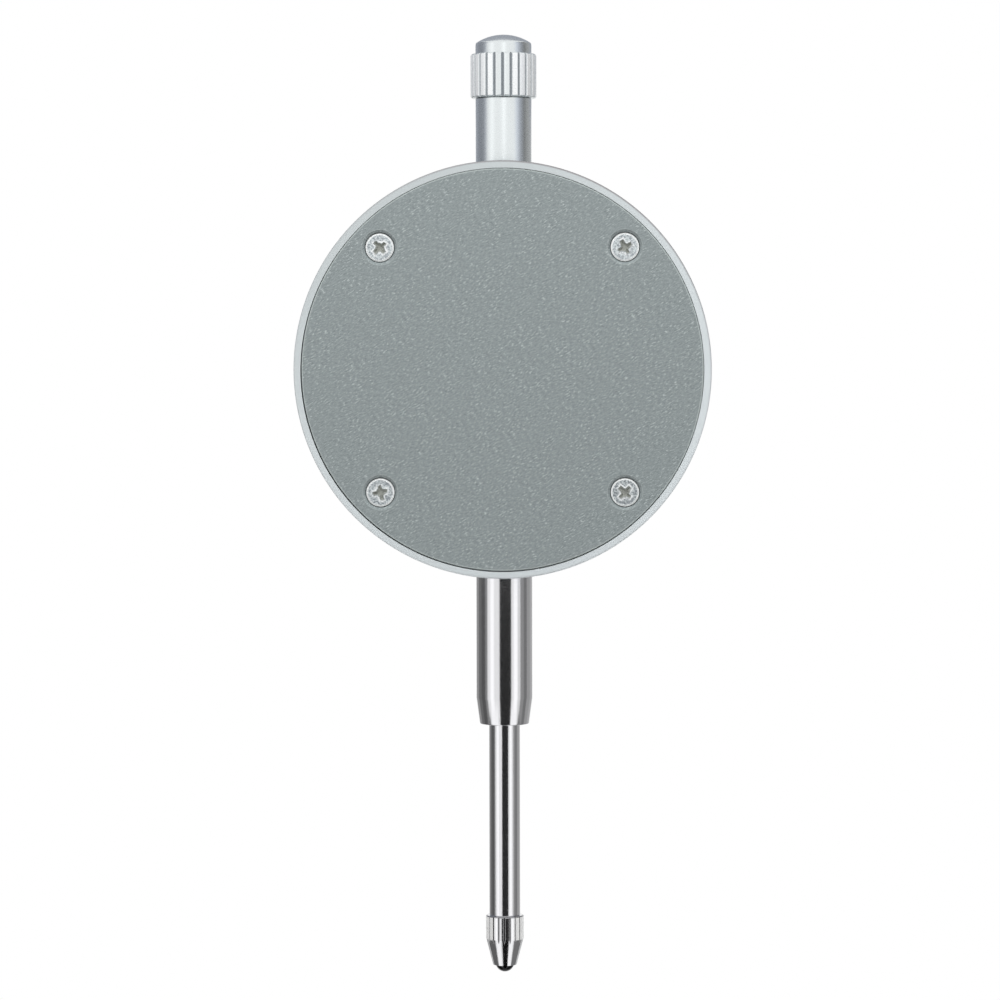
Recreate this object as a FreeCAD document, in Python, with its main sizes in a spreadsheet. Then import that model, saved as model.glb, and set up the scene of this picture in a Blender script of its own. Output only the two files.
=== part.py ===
"""Digital dial indicator, modelled piece by piece in millimetres.

The origin is the middle of the stem's clamping cylinder. +Z runs up the spindle axis, away from
the contact point. The back cover faces -Y and the display faces +Y. The driving dimensions are in
the sheet Sizes; every other size is an expression of them.
"""

import FreeCAD, Part
import os
import re
import Sketcher

Vector = FreeCAD.Vector

SIZES = {
    # Case: a cup with the display in its bottom, closed at the back by a flat cover
    "case_radius": 29.2,
    "case_wall": 2.2,
    "case_back": 8.5,
    "case_front": 16.0,
    "case_edge_round": 0.3,
    "rim_width": 0.95,
    "bezel_width": 2.4,
    "bezel_round": 1.1,
    "bezel_lip": 0.2,
    "front_wall": 1.4,
    "plate_thick": 0.8,
    "panel_clear": 0.1,
    # Back cover and its screws
    "cover_thick": 1.2,
    "cover_gap": 0.16,
    "cover_edge_round": 0.12,
    "gasket_thick": 0.4,
    "gasket_clear": 0.1,
    "cover_screw_inset": 2.817,
    "cover_boss_radius": 3.2,
    "cover_boss_depth": 10.9,
    "dimple_radius": 2.45,
    "dimple_depth": 0.95,
    "dimple_slope": 0.4,
    "screw_head_radius": 1.975,
    "screw_head_height": 0.78,
    "screw_head_clear": 0.09,
    "screw_shank_radius": 1.0,
    "screw_shank_length": 6.0,
    "screw_hole_clear": 0.03,
    "cross_reach": 1.16,
    "cross_width": 0.62,
    "cross_depth": 0.5,
    # Stem, sleeve and the bushes in them
    "stem_radius": 4.0,
    "stem_clamp_length": 17.8,
    "stem_taper_length": 3.7,
    "stem_end_radius": 3.5,
    "stem_reach": 9.0,
    "spigot_radius": 3.5,
    "spot_radius": 4.75,
    "spot_depth": 0.35,
    "boss_radius": 5.6,
    "boss_reach": 4.5,
    "boss_root": 1.0,
    "bush_radius": 2.95,
    "stem_bush_length": 9.0,
    "sleeve_bush_length": 4.0,
    "bush_recess": 0.3,
    "sleeve_reach": 13.7,
    "sleeve_radius": 3.95,
    "sleeve_length": 9.45,
    "neck_radius": 3.1,
    "neck_length": 4.2,
    "bore_clear": 0.3,
    # Dust cap that screws on the sleeve
    "cap_flute_radius": 4.65,
    "cap_flute_length": 6.2,
    "cap_flute_depth": 0.3,
    "cap_flute_width": 0.48,
    "cap_flutes": 24,
    "cap_edge_chamfer": 0.2,
    "cap_dome_height": 1.0,
    "cap_shoulder_round": 0.35,
    "cap_end_wall": 1.4,
    "cap_seat_gap": 0.05,
    "thread_clear": 0.05,
    "cap_seal_section": 0.3,
    "seal_clear": 0.03,
    # Spindle and contact point
    "travel": 25.4,
    "spindle_radius": 2.2,
    "spindle_spare": 2.0,
    "spindle_over_bush": 0.7,
    "spindle_top_clear": 0.3,
    "spindle_chamfer": 0.3,
    "running_clear": 0.03,
    "point_stud_radius": 1.2,
    "point_stud_length": 5.0,
    "point_collar_radius": 2.7,
    "point_collar_length": 3.3,
    "point_collar_chamfer": 0.3,
    "point_flutes": 20,
    "point_flute_depth": 0.14,
    "point_flute_width": 0.26,
    "point_cone_length": 3.8,
    "point_end_radius": 1.7,
    "ball_radius": 1.35,
    "ball_stand_out": 1.05,
    # Bracket, guide rod and return spring on the spindle
    "bumper_thick": 1.0,
    "bumper_clear": 0.25,
    "seat_clear": 0.02,
    "bracket_height": 5.0,
    "bracket_half_width": 4.5,
    "bracket_back": 5.2,
    "bracket_slit": 0.5,
    "clamp_screw_radius": 0.8,
    "clamp_screw_head_radius": 1.4,
    "clamp_screw_head_height": 1.2,
    "clamp_screw_from_axis": 4.0,
    "fork_depth": 1.6,
    "fork_half_depth": 2.4,
    "rod_radius": 1.0,
    "rod_from_axis": 9.0,
    "rod_end_gap": 0.1,
    "saddle_depth": 4.0,
    "saddle_wall": 2.2,
    "saddle_length": 5.6,
    "rod_screw_from_rod": 2.7,
    "rod_screw_from_edge": 2.2,
    "rod_screw_head": 2.2,
    "rod_screw_shank": 3.0,
    "small_screw_radius": 0.8,
    "small_head_height": 1.0,
    "spring_wire": 0.35,
    "spring_radius": 2.85,
    "spring_turns": 9,
    "scale_back": 3.9,
    "scale_plate": 1.05,
    "scale_thick": 0.8,
    "scale_gap": 0.25,
    "scale_length": 22.4,
    "scale_below_bracket": 4.6,
    # Main board and what stands on it
    "board_clear": 1.8,
    "board_thick": 1.0,
    "post_radius": 2.0,
    "post_inset": 3.88,
    "upper_post_x": 8.5,
    "lower_post_x": 13.6,
    "board_screw_radius": 0.9,
    "board_screw_head": 1.7,
    "board_screw_length": 4.0,
    "board_screw_head_height": 1.1,
    "chip_size": 9.0,
    "chip_height": 1.0,
    "crystal_radius": 1.0,
    "crystal_length": 6.0,
    # Display
    "lcd_width": 35.0,
    "lcd_height": 15.0,
    "lcd_rise": 8.0,
    "lcd_glass": 1.1,
    "lcd_step": 1.6,
    "strip_width": 2.0,
    "strip_height": 3.0,
    "strip_short": 1.0,
    "lcd_fit": 0.1,
    "lcd_frame_wall": 1.2,
    "lcd_frame_lip": 1.0,
    "lcd_lip_width": 0.9,
    "window_margin": 1.5,
    "window_ledge": 1.0,
    "window_corner": 1.0,
    "window_clear": 0.08,
    # Buttons
    "button_radius": 3.0,
    "button_spacing": 12.0,
    "button_drop": 5.4,
    "button_clear": 0.08,
    "button_proud": 0.7,
    "button_round": 0.4,
    "button_travel": 0.5,
    "button_flange_radius": 3.5,
    "button_flange_thick": 0.6,
    "button_tail_radius": 1.4,
    "switch_size": 4.5,
    "switch_height": 1.6,
    "switch_gap": 0.1,
    # Battery
    "cell_radius": 5.8,
    "cell_height": 5.4,
    "cell_drop": 17.4,
    "cell_clear": 0.2,
    "well_wall": 1.2,
    "leaf_thick": 0.25,
    "leaf_width": 3.0,
    "battery_thread_radius": 6.5,
    "battery_cap_radius": 7.6,
    "battery_cap_clear": 0.1,
    "battery_seat_depth": 0.6,
    "battery_seal_section": 0.3,
    "coin_slot_width": 1.4,
    "coin_slot_depth": 0.9,
    "coin_slot_length": 10.0,
    # Data port in the side wall
    "port_width": 10.0,
    "port_height": 3.6,
    "port_clear": 0.06,
    "port_cover_depth": 1.7,
    "socket_clear": 1.8,
    "socket_height": 3.2,
    "contact_pins": 4,
    "contact_pin_width": 0.8,
    "contact_pin_spacing": 2.0,
    "contact_pin_reach": 1.2,
}

# Places and sizes that follow from the driving dimensions. Heights on the case are counted from
# the case's centre, and depths from the spindle axis, towards the display.
DERIVED = {
    "case_height": "stem_clamp_length / 2 - spot_depth + case_radius",
    "inner_radius": "case_radius - case_wall",
    "recess_radius": "case_radius - rim_width",
    "cover_screw_spread": "(inner_radius - cover_screw_inset) / sqrt(2)",
    "cover_radius": "recess_radius - cover_gap",
    "ledge_depth": "cover_thick + gasket_thick - case_back",
    "cover_inside": "cover_thick - case_back",
    "plate_seat": "case_front - bezel_lip - plate_thick",
    "front_inside": "plate_seat - front_wall",
    "panel_radius": "case_radius - bezel_width",
    "screw_seat": "dimple_depth - case_back",
    "stem_end": "0 - stem_clamp_length / 2 - stem_taper_length",
    "point_top": "stem_end - travel - spindle_spare",
    "stem_inside": "stem_reach - case_radius",
    "bracket_bottom": "stem_inside + bumper_thick",
    "bracket_top": "bracket_bottom + bracket_height",
    "sleeve_inside": "case_radius - sleeve_reach",
    "spindle_top": "sleeve_inside + sleeve_bush_length + spindle_over_bush",
    "cap_inside": "spindle_top + travel + spindle_top_clear",
    "cap_apex": "cap_inside + cap_end_wall",
    "cap_bottom": "case_radius - spot_depth + sleeve_length",
    "spindle_bore": "spindle_radius + bore_clear",
    "rod_reach": "sqrt(pow(inner_radius; 2) - pow(rod_from_axis + rod_radius; 2)) - rod_end_gap",
    "saddle_inside": "rod_reach - saddle_length",
    "rod_screw_x": "rod_from_axis + rod_screw_from_rod",
    "rod_screw_z": "saddle_inside + rod_screw_from_edge",
    "scale_front": "scale_back + scale_plate + scale_thick",
    "board_back": "scale_front + scale_gap",
    "board_front": "board_back + board_thick",
    "board_radius": "inner_radius - board_clear",
    "upper_post_z": "sqrt(pow(inner_radius - post_inset; 2) - pow(upper_post_x; 2))",
    "lower_post_z": "sqrt(pow(inner_radius - post_inset; 2) - pow(lower_post_x; 2))",
    "lcd_back": "board_front + strip_height",
    "lcd_face": "lcd_back + 2 * lcd_glass",
    "frame_width": "lcd_width + 2 * lcd_fit + 2 * lcd_frame_wall",
    "frame_height": "lcd_height + 2 * lcd_fit + 2 * lcd_frame_wall",
    "window_width": "lcd_width - 2 * window_margin",
    "window_height": "lcd_height - 2 * window_margin",
    "cell_back": "board_front + leaf_thick",
    "well_radius": "cell_radius + cell_clear",
    "battery_seat": "plate_seat - battery_seat_depth",
    "port_middle": "board_front + socket_height / 2",
    "socket_back": "(frame_width) / 2 + socket_clear",
    "socket_length": "board_radius - (socket_back)",
    "plate_face": "plate_seat + plate_thick",
    "cell_front": "cell_back + cell_height",
}


def cells(text):
    """The expression with each name replaced by its cell, or by what it follows from."""
    def swap(match):
        word = match.group()
        if word in DERIVED:
            return "(" + cells(DERIVED[word]) + ")"
        return "Sizes." + word if word in SIZES else word
    return re.sub(r"[a-z_]+(?![a-z_(])", swap, text)


document = FreeCAD.newDocument("dial_indicator")
sheet = document.addObject("Spreadsheet::Sheet", "Sizes")
for row, (name, value) in enumerate(SIZES.items(), 1):
    sheet.set(f"A{row}", name)
    sheet.set(f"B{row}", str(value))
    sheet.setAlias(f"B{row}", name)
document.recompute()


def value(text):
    return float(sheet.evalExpression(cells(text)))


# Each plane's own name, and which way its normal runs along the third axis
PLANES = {"XY": ("XY_Plane", 1), "XZ": ("XZ_Plane", -1), "YZ": ("YZ_Plane", 1)}


def origin(body, role):
    return next(item for item in body.Origin.OriginFeatures if item.Role == role)


def make_body(name, **base):
    """An empty body; base gives expressions for the places of its own origin."""
    body = document.addObject("PartDesign::Body", name)
    body.Label = name
    for axis, text in base.items():
        body.setExpression(f"Placement.Base.{axis}", cells(text))
    return body


def draw(body, plane, at="0"):
    """An empty sketch on one of the body's own planes, moved to the place `at` on the third axis."""
    role, sign = PLANES[plane]
    sketch = body.newObject("Sketcher::SketchObject", f"{body.Name}_sketch")
    sketch.AttachmentSupport = [(origin(body, role), "")]
    sketch.MapMode = "FlatFace"
    sketch.setExpression("AttachmentOffset.Base.z", f"{sign} * ({cells(at)})")
    return sketch


def bind(sketch, kind, *where, to):
    number = sketch.addConstraint(Sketcher.Constraint(kind, *where, value(to)))
    sketch.setExpression(f"Constraints[{number}]", cells(to))


def circle(sketch, x, y, radius):
    centre = Vector(value(x), value(y), 0)
    curve = sketch.addGeometry(Part.Circle(centre, Vector(0, 0, 1), value(radius)), False)
    bind(sketch, "DistanceX", -1, 1, curve, 3, to=x)
    bind(sketch, "DistanceY", -1, 1, curve, 3, to=y)
    bind(sketch, "Radius", curve, to=radius)


def arc_side(start, end, radius, left):
    """An arc between two points that bulges to the right of the way from start to end, or to the
    left, written anticlockwise as a sketch keeps it."""
    half = (end - start) * 0.5
    across = Vector(-half.y, half.x, 0).normalize() * (-1 if left else 1)
    centre = start + half + across * max(radius**2 - half.Length**2, 0) ** 0.5
    middle = centre - across * radius
    return Part.Arc(end, middle, start) if left else Part.Arc(start, middle, end)


def outline(sketch, points, arcs=None):
    """A closed outline through points, each a pair of expressions. arcs gives, for the number of a
    point whose side is an arc, the arc's radius and whether it bulges to the left of the way."""
    arcs = arcs or {}
    places = [Vector(value(x), value(y), 0) for x, y in points]
    sides = []
    for number, start in enumerate(places):
        end = places[(number + 1) % len(places)]
        if number in arcs:
            radius, left = arcs[number]
            line = sketch.addGeometry(arc_side(start, end, value(radius), left), False)
            sides.append((line, 2, 1) if left else (line, 1, 2))
        else:
            line = sketch.addGeometry(Part.LineSegment(start, end), False)
            sides.append((line, 1, 2))
    for number, (line, head, tail) in enumerate(sides):
        after, after_head, _ = sides[(number + 1) % len(sides)]
        sketch.addConstraint(Sketcher.Constraint("Coincident", line, tail, after, after_head))
    for (line, head, _), (x, y) in zip(sides, points):
        bind(sketch, "DistanceX", -1, 1, line, head, to=x)
        bind(sketch, "DistanceY", -1, 1, line, head, to=y)
    for number, (radius, _) in arcs.items():
        bind(sketch, "Radius", sides[number][0], to=radius)


def rectangle(sketch, x, y):
    """A rectangle between a pair of expressions on each axis."""
    outline(sketch, [(x[0], y[0]), (x[1], y[0]), (x[1], y[1]), (x[0], y[1])])


def round_rectangle(sketch, x, y, corner):
    """A rectangle as above with its corners rounded by an arc."""
    low_x, high_x = f"({x[0]}) + {corner}", f"({x[1]}) - {corner}"
    low_y, high_y = f"({y[0]}) + {corner}", f"({y[1]}) - {corner}"
    points = [(low_x, y[0]), (high_x, y[0]), (x[1], low_y), (x[1], high_y),
              (high_x, y[1]), (low_x, y[1]), (x[0], high_y), (x[0], low_y)]
    outline(sketch, points, {side: (corner, False) for side in (1, 3, 5, 7)})


def volume(body):
    return body.Tip.Shape.Volume if body.Tip and not body.Tip.Shape.isNull() else 0.0


def add_feature(body, kind, sketch, grows, **settings):
    """Adds a feature on a sketch and stops if the solid doesn't change the way it should."""
    before = volume(body)
    feature = body.newObject(f"PartDesign::{kind}", f"{body.Name}_{kind.lower()}")
    feature.Profile = (sketch, [""])
    for key, setting in settings.items():
        setattr(feature, key, setting)
    sketch.Visibility = False
    return feature, before, grows


def settle(body, step):
    feature, before, grows = step
    document.recompute()
    after = volume(body)
    changed = after > before + 1e-6 if grows else 0 < after < before - 1e-6
    if not changed:
        raise RuntimeError(f"{feature.Name} takes the solid from {before} to {after}")
    return feature


def revolve(body, sketch, axis):
    turn = (origin(body, f"{axis}_Axis"), [""])
    return settle(body, add_feature(body, "Revolution", sketch, True, ReferenceAxis=turn, Angle=360))


def groove(body, sketch, axis):
    turn = (origin(body, f"{axis}_Axis"), [""])
    return settle(body, add_feature(body, "Groove", sketch, False, ReferenceAxis=turn, Angle=360))


def extrude(body, kind, sketch, length, towards, **settings):
    """A pad or pocket of a sketch, towards +1 or -1 along the axis that crosses its plane."""
    role = sketch.AttachmentSupport[0][0].Role
    sign = next(sign for name, sign in PLANES.values() if name == role)
    forward = (towards == sign) if kind == "Pad" else (towards != sign)
    step = add_feature(body, kind, sketch, kind == "Pad", Reversed=not forward, **settings)
    step[0].setExpression("Length", cells(length))
    return settle(body, step)


def pad(body, sketch, length, towards):
    return extrude(body, "Pad", sketch, length, towards)


def pocket(body, sketch, length, towards, **settings):
    return extrude(body, "Pocket", sketch, length, towards, **settings)


def pattern(body, features, axis, count):
    """Repeats features round one of the body's axes."""
    ring = body.newObject("PartDesign::PolarPattern", f"{body.Name}_pattern")
    ring.Originals = features
    ring.Axis = (origin(body, f"{axis}_Axis"), [""])
    ring.Angle = 360
    ring.setExpression("Occurrences", cells(count))
    body.Tip = ring
    document.recompute()
    return ring


def mirror(body, features, plane):
    """Repeats features on the other side of one of the body's planes."""
    other = body.newObject("PartDesign::Mirrored", f"{body.Name}_mirror")
    other.Originals = features
    other.MirrorPlane = (origin(body, PLANES[plane][0]), [""])
    body.Tip = other
    document.recompute()
    return other


def circles(body, radius, axis, at):
    """The names of the tip's circular edges of a radius at a place on an axis."""
    names = []
    for number, edge in enumerate(body.Tip.Shape.Edges, 1):
        if not edge.Degenerated and isinstance(edge.Curve, Part.Circle):
            place = getattr(edge.Curve.Center, axis)
            if abs(edge.Curve.Radius - value(radius)) < 1e-4 and abs(place - value(at)) < 1e-4:
                names.append(f"Edge{number}")
    if not names:
        raise RuntimeError(f"{body.Name} has no edge of radius {radius} at {at}")
    return names


def break_edges(body, kind, size, names):
    """A fillet or chamfer of one size on the tip's named edges."""
    solid = body.Tip
    feature = body.newObject(f"PartDesign::{kind}", f"{body.Name}_{kind.lower()}")
    feature.Base = (solid, names)
    feature.setExpression("Radius" if kind == "Fillet" else "Size", cells(size))
    body.Tip = feature
    document.recompute()
    return feature


def put(piece, name, **base):
    """Gives a primitive its label and binds its place."""
    piece.Label = name
    for axis, text in base.items():
        piece.setExpression(f"Placement.Base.{axis}", cells(text))
    return piece


def box(name, x, y, z):
    """A block between two places on each axis, its heights counted from the case's centre."""
    piece = document.addObject("Part::Box", name)
    for side, (low, high) in zip(("Length", "Width", "Height"), (x, y, z)):
        piece.setExpression(side, cells(f"({high}) - ({low})"))
    return put(piece, name, x=x[0], y=y[0], z=f"({z[0]}) + case_height")


def compound(name, pieces):
    """Several like pieces that are one node."""
    group = document.addObject("Part::Compound", name)
    group.Label = name
    group.Links = pieces
    return group


def copies(name, form, places, turns=None, axis=Vector(0, 1, 0)):
    """Links to one form at several places, each a triple of expressions, as one node."""
    links = []
    for number, place in enumerate(places):
        link = document.addObject("App::Link", f"{name}_{number + 1}")
        link.LinkedObject = form
        turn = FreeCAD.Rotation(axis, turns[number] if turns else 0)
        link.Placement = FreeCAD.Placement(Vector(), turn)
        for letter, text in zip("xyz", place):
            link.setExpression(f"Placement.Base.{letter}", cells(text))
        links.append(link)
    return compound(name, links)


def main_housing():
    """The die-cast cup: side wall, front wall, bosses, posts, saddles, battery well and port."""
    body = make_body("main_housing", z="case_height")
    shell = draw(body, "YZ")
    outline(shell, [
        ("0 - case_back", "recess_radius"), ("0 - case_back", "case_radius"),
        ("case_front", "case_radius"), ("case_front", "panel_radius"),
        ("plate_seat", "panel_radius"), ("plate_seat", "0"),
        ("front_inside", "0"), ("front_inside", "inner_radius"),
        ("ledge_depth", "inner_radius"), ("ledge_depth", "recess_radius")])
    revolve(body, shell, "Y")
    break_edges(body, "Fillet", "bezel_round", circles(body, "case_radius", "y", "case_front"))
    break_edges(body, "Fillet", "case_edge_round", circles(body, "case_radius", "y", "0 - case_back"))

    # Bosses for the back cover's four screws
    boss = draw(body, "XZ", "ledge_depth")
    circle(boss, "cover_screw_spread", "cover_screw_spread", "cover_boss_radius")
    boss_pad = pad(body, boss, "cover_boss_depth", 1)
    hole = draw(body, "XZ", "ledge_depth")
    circle(hole, "cover_screw_spread", "cover_screw_spread", "screw_shank_radius + screw_hole_clear")
    hole_cut = pocket(body, hole, "screw_seat + screw_shank_length + bumper_clear - ledge_depth", 1)
    pattern(body, [boss_pad, hole_cut], "Y", "4")

    # Seats of the stem and of the sleeve, and the saddles of the guide rod, above and below alike
    seat = draw(body, "XY", "boss_root - case_radius")
    circle(seat, "0", "0", "boss_radius")
    seat_pad = pad(body, seat, "boss_reach - boss_root", 1)
    spot = draw(body, "XY", "spot_depth - case_radius")
    circle(spot, "0", "0", "spot_radius")
    spot_cut = pocket(body, spot, "spot_depth + boss_root", -1)
    bore = draw(body, "XY", "spot_depth - case_radius")
    circle(bore, "0", "0", "spigot_radius")
    bore_cut = pocket(body, bore, "boss_reach - spot_depth", 1)
    wall = "0 - sqrt(pow(case_radius - case_wall / 2; 2) - pow({x}; 2))"
    inner_x = "rod_from_axis - rod_radius - saddle_wall / 2"
    outer_x = "rod_screw_x + saddle_wall"
    saddle = draw(body, "XZ", "0 - rod_radius")
    outline(saddle, [
        (f"0 - ({outer_x})", "0 - (saddle_inside)"), (f"0 - ({outer_x})", wall.format(x=outer_x)),
        (f"0 - ({inner_x})", wall.format(x=inner_x)), (f"0 - ({inner_x})", "0 - (saddle_inside)")])
    saddle_pad = pad(body, saddle, "saddle_depth", 1)
    cradle = draw(body, "XY", "0 - (saddle_inside) + rod_radius")
    snug = "rod_radius + seat_clear"
    low_x, high_x = (f"0 - rod_from_axis {sign} ({snug})" for sign in "-+")
    outline(cradle, [
        (low_x, "0 - 2 * rod_radius"), (high_x, "0 - 2 * rod_radius"), (high_x, "0"),
        ("0 - rod_from_axis", snug), (low_x, "0")], {2: (snug, False), 3: (snug, False)})
    cradle_cut = pocket(body, cradle, "rod_reach + rod_end_gap - (saddle_inside) + rod_radius", -1)
    clamp = draw(body, "XZ", "0 - rod_radius")
    circle(clamp, "0 - (rod_screw_x)", "0 - (rod_screw_z)", "small_screw_radius + screw_hole_clear")
    clamp_cut = pocket(body, clamp, "rod_screw_shank + bumper_clear", 1)
    features = [seat_pad, spot_cut, bore_cut, saddle_pad, cradle_cut, clamp_cut]
    mirror(body, features, "XY")

    # Posts for the main board
    posts = draw(body, "XZ", "front_inside")
    holes = draw(body, "XZ", "board_front")
    for x in ("upper_post_x", "0 - upper_post_x"):
        circle(posts, x, "upper_post_z", "post_radius")
        circle(holes, x, "upper_post_z", "board_screw_radius + screw_hole_clear")
    for x in ("lower_post_x", "0 - lower_post_x"):
        circle(posts, x, "0 - lower_post_z", "post_radius")
        circle(holes, x, "0 - lower_post_z", "board_screw_radius + screw_hole_clear")
    pad(body, posts, "front_inside - board_front", -1)
    pocket(body, holes, "board_screw_length - board_thick + bumper_clear", 1)

    # Battery well with its side window for the contact, and the cover's seat and thread
    well = draw(body, "XZ", "front_inside")
    circle(well, "0", "0 - cell_drop", "well_radius + well_wall")
    pad(body, well, "front_inside - board_front - panel_clear", -1)
    hollow = draw(body, "XZ", "cell_front + panel_clear")
    circle(hollow, "0", "0 - cell_drop", "well_radius")
    pocket(body, hollow, "cell_front - board_front", -1)
    thread = draw(body, "XZ", "cell_front + panel_clear")
    circle(thread, "0", "0 - cell_drop", "battery_thread_radius + thread_clear")
    pocket(body, thread, "plate_seat - cell_front", 1)
    flange = draw(body, "XZ", "battery_seat")
    circle(flange, "0", "0 - cell_drop", "battery_cap_radius + battery_cap_clear")
    pocket(body, flange, "battery_seat_depth + plate_thick", 1)
    window = draw(body, "XZ", "board_front")
    rectangle(window, ("cell_radius - cell_clear", "cell_radius + 2 * well_wall"),
              ("0 - cell_drop - leaf_width / 2 - panel_clear",
               "0 - cell_drop + leaf_width / 2 + panel_clear"))
    pocket(body, window, "cell_height - well_wall", 1)

    # Openings of the front wall for the display and the buttons, and of the side wall for the port
    view = draw(body, "XZ", "front_inside")
    round_rectangle(view, ("window_ledge - window_width / 2", "window_width / 2 - window_ledge"),
                    ("lcd_rise - window_height / 2 + window_ledge",
                     "lcd_rise + window_height / 2 - window_ledge"), "window_corner")
    pocket(body, view, "front_wall + plate_thick", 1)
    keys = draw(body, "XZ", "front_inside")
    for x in ("0 - button_spacing", "0", "button_spacing"):
        circle(keys, x, "0 - button_drop", "button_radius + button_clear")
    pocket(body, keys, "front_wall + plate_thick", 1)
    port = draw(body, "YZ", "inner_radius - case_wall")
    rectangle(port, ("port_middle - port_height / 2 - port_clear",
                     "port_middle + port_height / 2 + port_clear"),
              ("0 - port_width / 2 - port_clear", "port_width / 2 + port_clear"))
    pocket(body, port, "3 * case_wall", 1)
    return body


def back_cover():
    """The flat painted cover: a disc with four dimples for the screws, each with a pad inside."""
    body = make_body("back_cover", z="case_height")
    disc = draw(body, "XZ", "0 - case_back")
    circle(disc, "0", "0", "cover_radius")
    pad(body, disc, "cover_thick", 1)
    break_edges(body, "Fillet", "cover_edge_round", circles(body, "cover_radius", "y", "0 - case_back"))
    spread = "cover_screw_spread"
    foot = draw(body, "XZ", "cover_inside")
    circle(foot, spread, spread, "dimple_radius + dimple_slope - cover_gap")
    foot_pad = pad(body, foot, "gasket_thick", 1)
    dimple = draw(body, "XZ", "0 - case_back")
    circle(dimple, spread, spread, "screw_head_radius + screw_head_clear")
    dimple_cut = pocket(body, dimple, "dimple_depth", 1)
    hole = draw(body, "XZ", "0 - case_back")
    circle(hole, spread, spread, "screw_shank_radius + 3 * screw_hole_clear")
    hole_cut = pocket(body, hole, "cover_thick + 2 * gasket_thick", 1)
    pattern(body, [foot_pad, dimple_cut, hole_cut], "Y", "4")
    mouth = circles(body, "screw_head_radius + screw_head_clear", "y", "0 - case_back")
    break_edges(body, "Chamfer", "dimple_radius - screw_head_radius - screw_head_clear", mouth)
    lips = circles(body, "dimple_radius", "y", "0 - case_back")
    break_edges(body, "Fillet", "cover_edge_round", lips)
    return body


def back_cover_gasket():
    """The flat ring between the cover and the housing's ledge."""
    body = make_body("back_cover_gasket", z="case_height")
    ring = draw(body, "XZ", "cover_inside")
    circle(ring, "0", "0", "recess_radius - gasket_clear")
    circle(ring, "0", "0", "inner_radius + gasket_clear")
    pad(body, ring, "gasket_thick", 1)
    return body


def screw_form(name, head, height, shank, length, edge, cross):
    """A pan head screw along Y, its head's seat at 0. cross is the recess's half length, half
    width and depth."""
    body = make_body(name)
    turned = draw(body, "YZ")
    outline(turned, [
        (f"0 - ({height})", "0"), (f"0 - ({height})", head), ("0", head), ("0", shank),
        (f"({length}) - ({shank}) / 2", shank), (length, f"({shank}) / 2"), (length, "0")])
    revolve(body, turned, "Y")
    break_edges(body, "Fillet", edge, circles(body, head, "y", f"0 - ({height})"))
    reach, half, depth = cross
    recess = draw(body, "XZ", f"0 - ({height})")
    corners = [(reach, half), (half, half), (half, reach), (f"0 - ({half})", reach)]
    corners += [(f"0 - ({half})", half), (f"0 - ({reach})", half)]
    other = [(f"0 - ({x})", f"0 - ({y})") for x, y in corners]
    outline(recess, corners + other)
    pocket(body, recess, depth, 1)
    return body


def back_cover_screws():
    """The four screws of the back cover, each stopped at its own angle."""
    form = screw_form("cover_screw_form", "screw_head_radius", "screw_head_height", "screw_shank_radius",
                      "screw_shank_length", "screw_head_height / 4",
                      ("cross_reach", "cross_width / 2", "cross_depth"))
    spread = "cover_screw_spread"
    places = [(f"{x}{spread}", "screw_seat", f"{z}{spread} + case_height")
              for x in ("0 - ", "") for z in ("", "0 - ")]
    return copies("back_cover_screws", form, places, [5, 35, 40, 25])


def stem():
    """The steel stem: the clamping cylinder, the taper at its end and the spigot in the housing."""
    body = make_body("stem")
    turned = draw(body, "XZ")
    outline(turned, [
        ("bush_radius", "stem_end"), ("stem_end_radius", "stem_end"),
        ("stem_radius", "stem_end + stem_taper_length"), ("stem_radius", "stem_clamp_length / 2"),
        ("spigot_radius", "stem_clamp_length / 2"), ("spigot_radius", "case_height + stem_inside"),
        ("spindle_bore", "case_height + stem_inside"),
        ("spindle_bore", "stem_end + bush_recess + stem_bush_length"),
        ("bush_radius", "stem_end + bush_recess + stem_bush_length")])
    revolve(body, turned, "Z")
    edge = circles(body, "stem_end_radius", "z", "stem_end")
    break_edges(body, "Fillet", "case_edge_round / 2", edge)
    return body


def bush(name, low, length):
    """A plain bronze bush that guides the spindle, from a low end upwards."""
    body = make_body(name, z=low)
    ring = draw(body, "XY")
    circle(ring, "0", "0", "bush_radius")
    circle(ring, "0", "0", "spindle_radius + running_clear")
    pad(body, ring, length, 1)
    return body


def upper_sleeve():
    """The sleeve on top of the case: its spigot, its visible barrel and the neck for the cap."""
    body = make_body("upper_sleeve", z="case_height")
    turned = draw(body, "XZ")
    outline(turned, [
        ("bush_radius", "sleeve_inside"), ("spigot_radius", "sleeve_inside"),
        ("spigot_radius", "case_radius - spot_depth"), ("sleeve_radius", "case_radius - spot_depth"),
        ("sleeve_radius", "cap_bottom"), ("neck_radius", "cap_bottom"),
        ("neck_radius", "cap_bottom + neck_length"), ("spindle_bore", "cap_bottom + neck_length"),
        ("spindle_bore", "sleeve_inside + sleeve_bush_length"),
        ("bush_radius", "sleeve_inside + sleeve_bush_length")])
    revolve(body, turned, "Z")
    return body


def flute(body, radius, width, depth, at, length, count):
    """V flutes cut along a band of a radius, upwards from `at`, evenly all round it."""
    over = f"({depth}) / 2"
    half = f"({width}) / 2 * (({depth}) + {over}) / ({depth})"
    notch = draw(body, "XY", at)
    outline(notch, [
        (f"({radius}) - ({depth})", "0"), (f"({radius}) + {over}", f"0 - {half}"),
        (f"({radius}) + {over}", half)])
    pattern(body, [pocket(body, notch, length, 1)], "Z", count)


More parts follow.
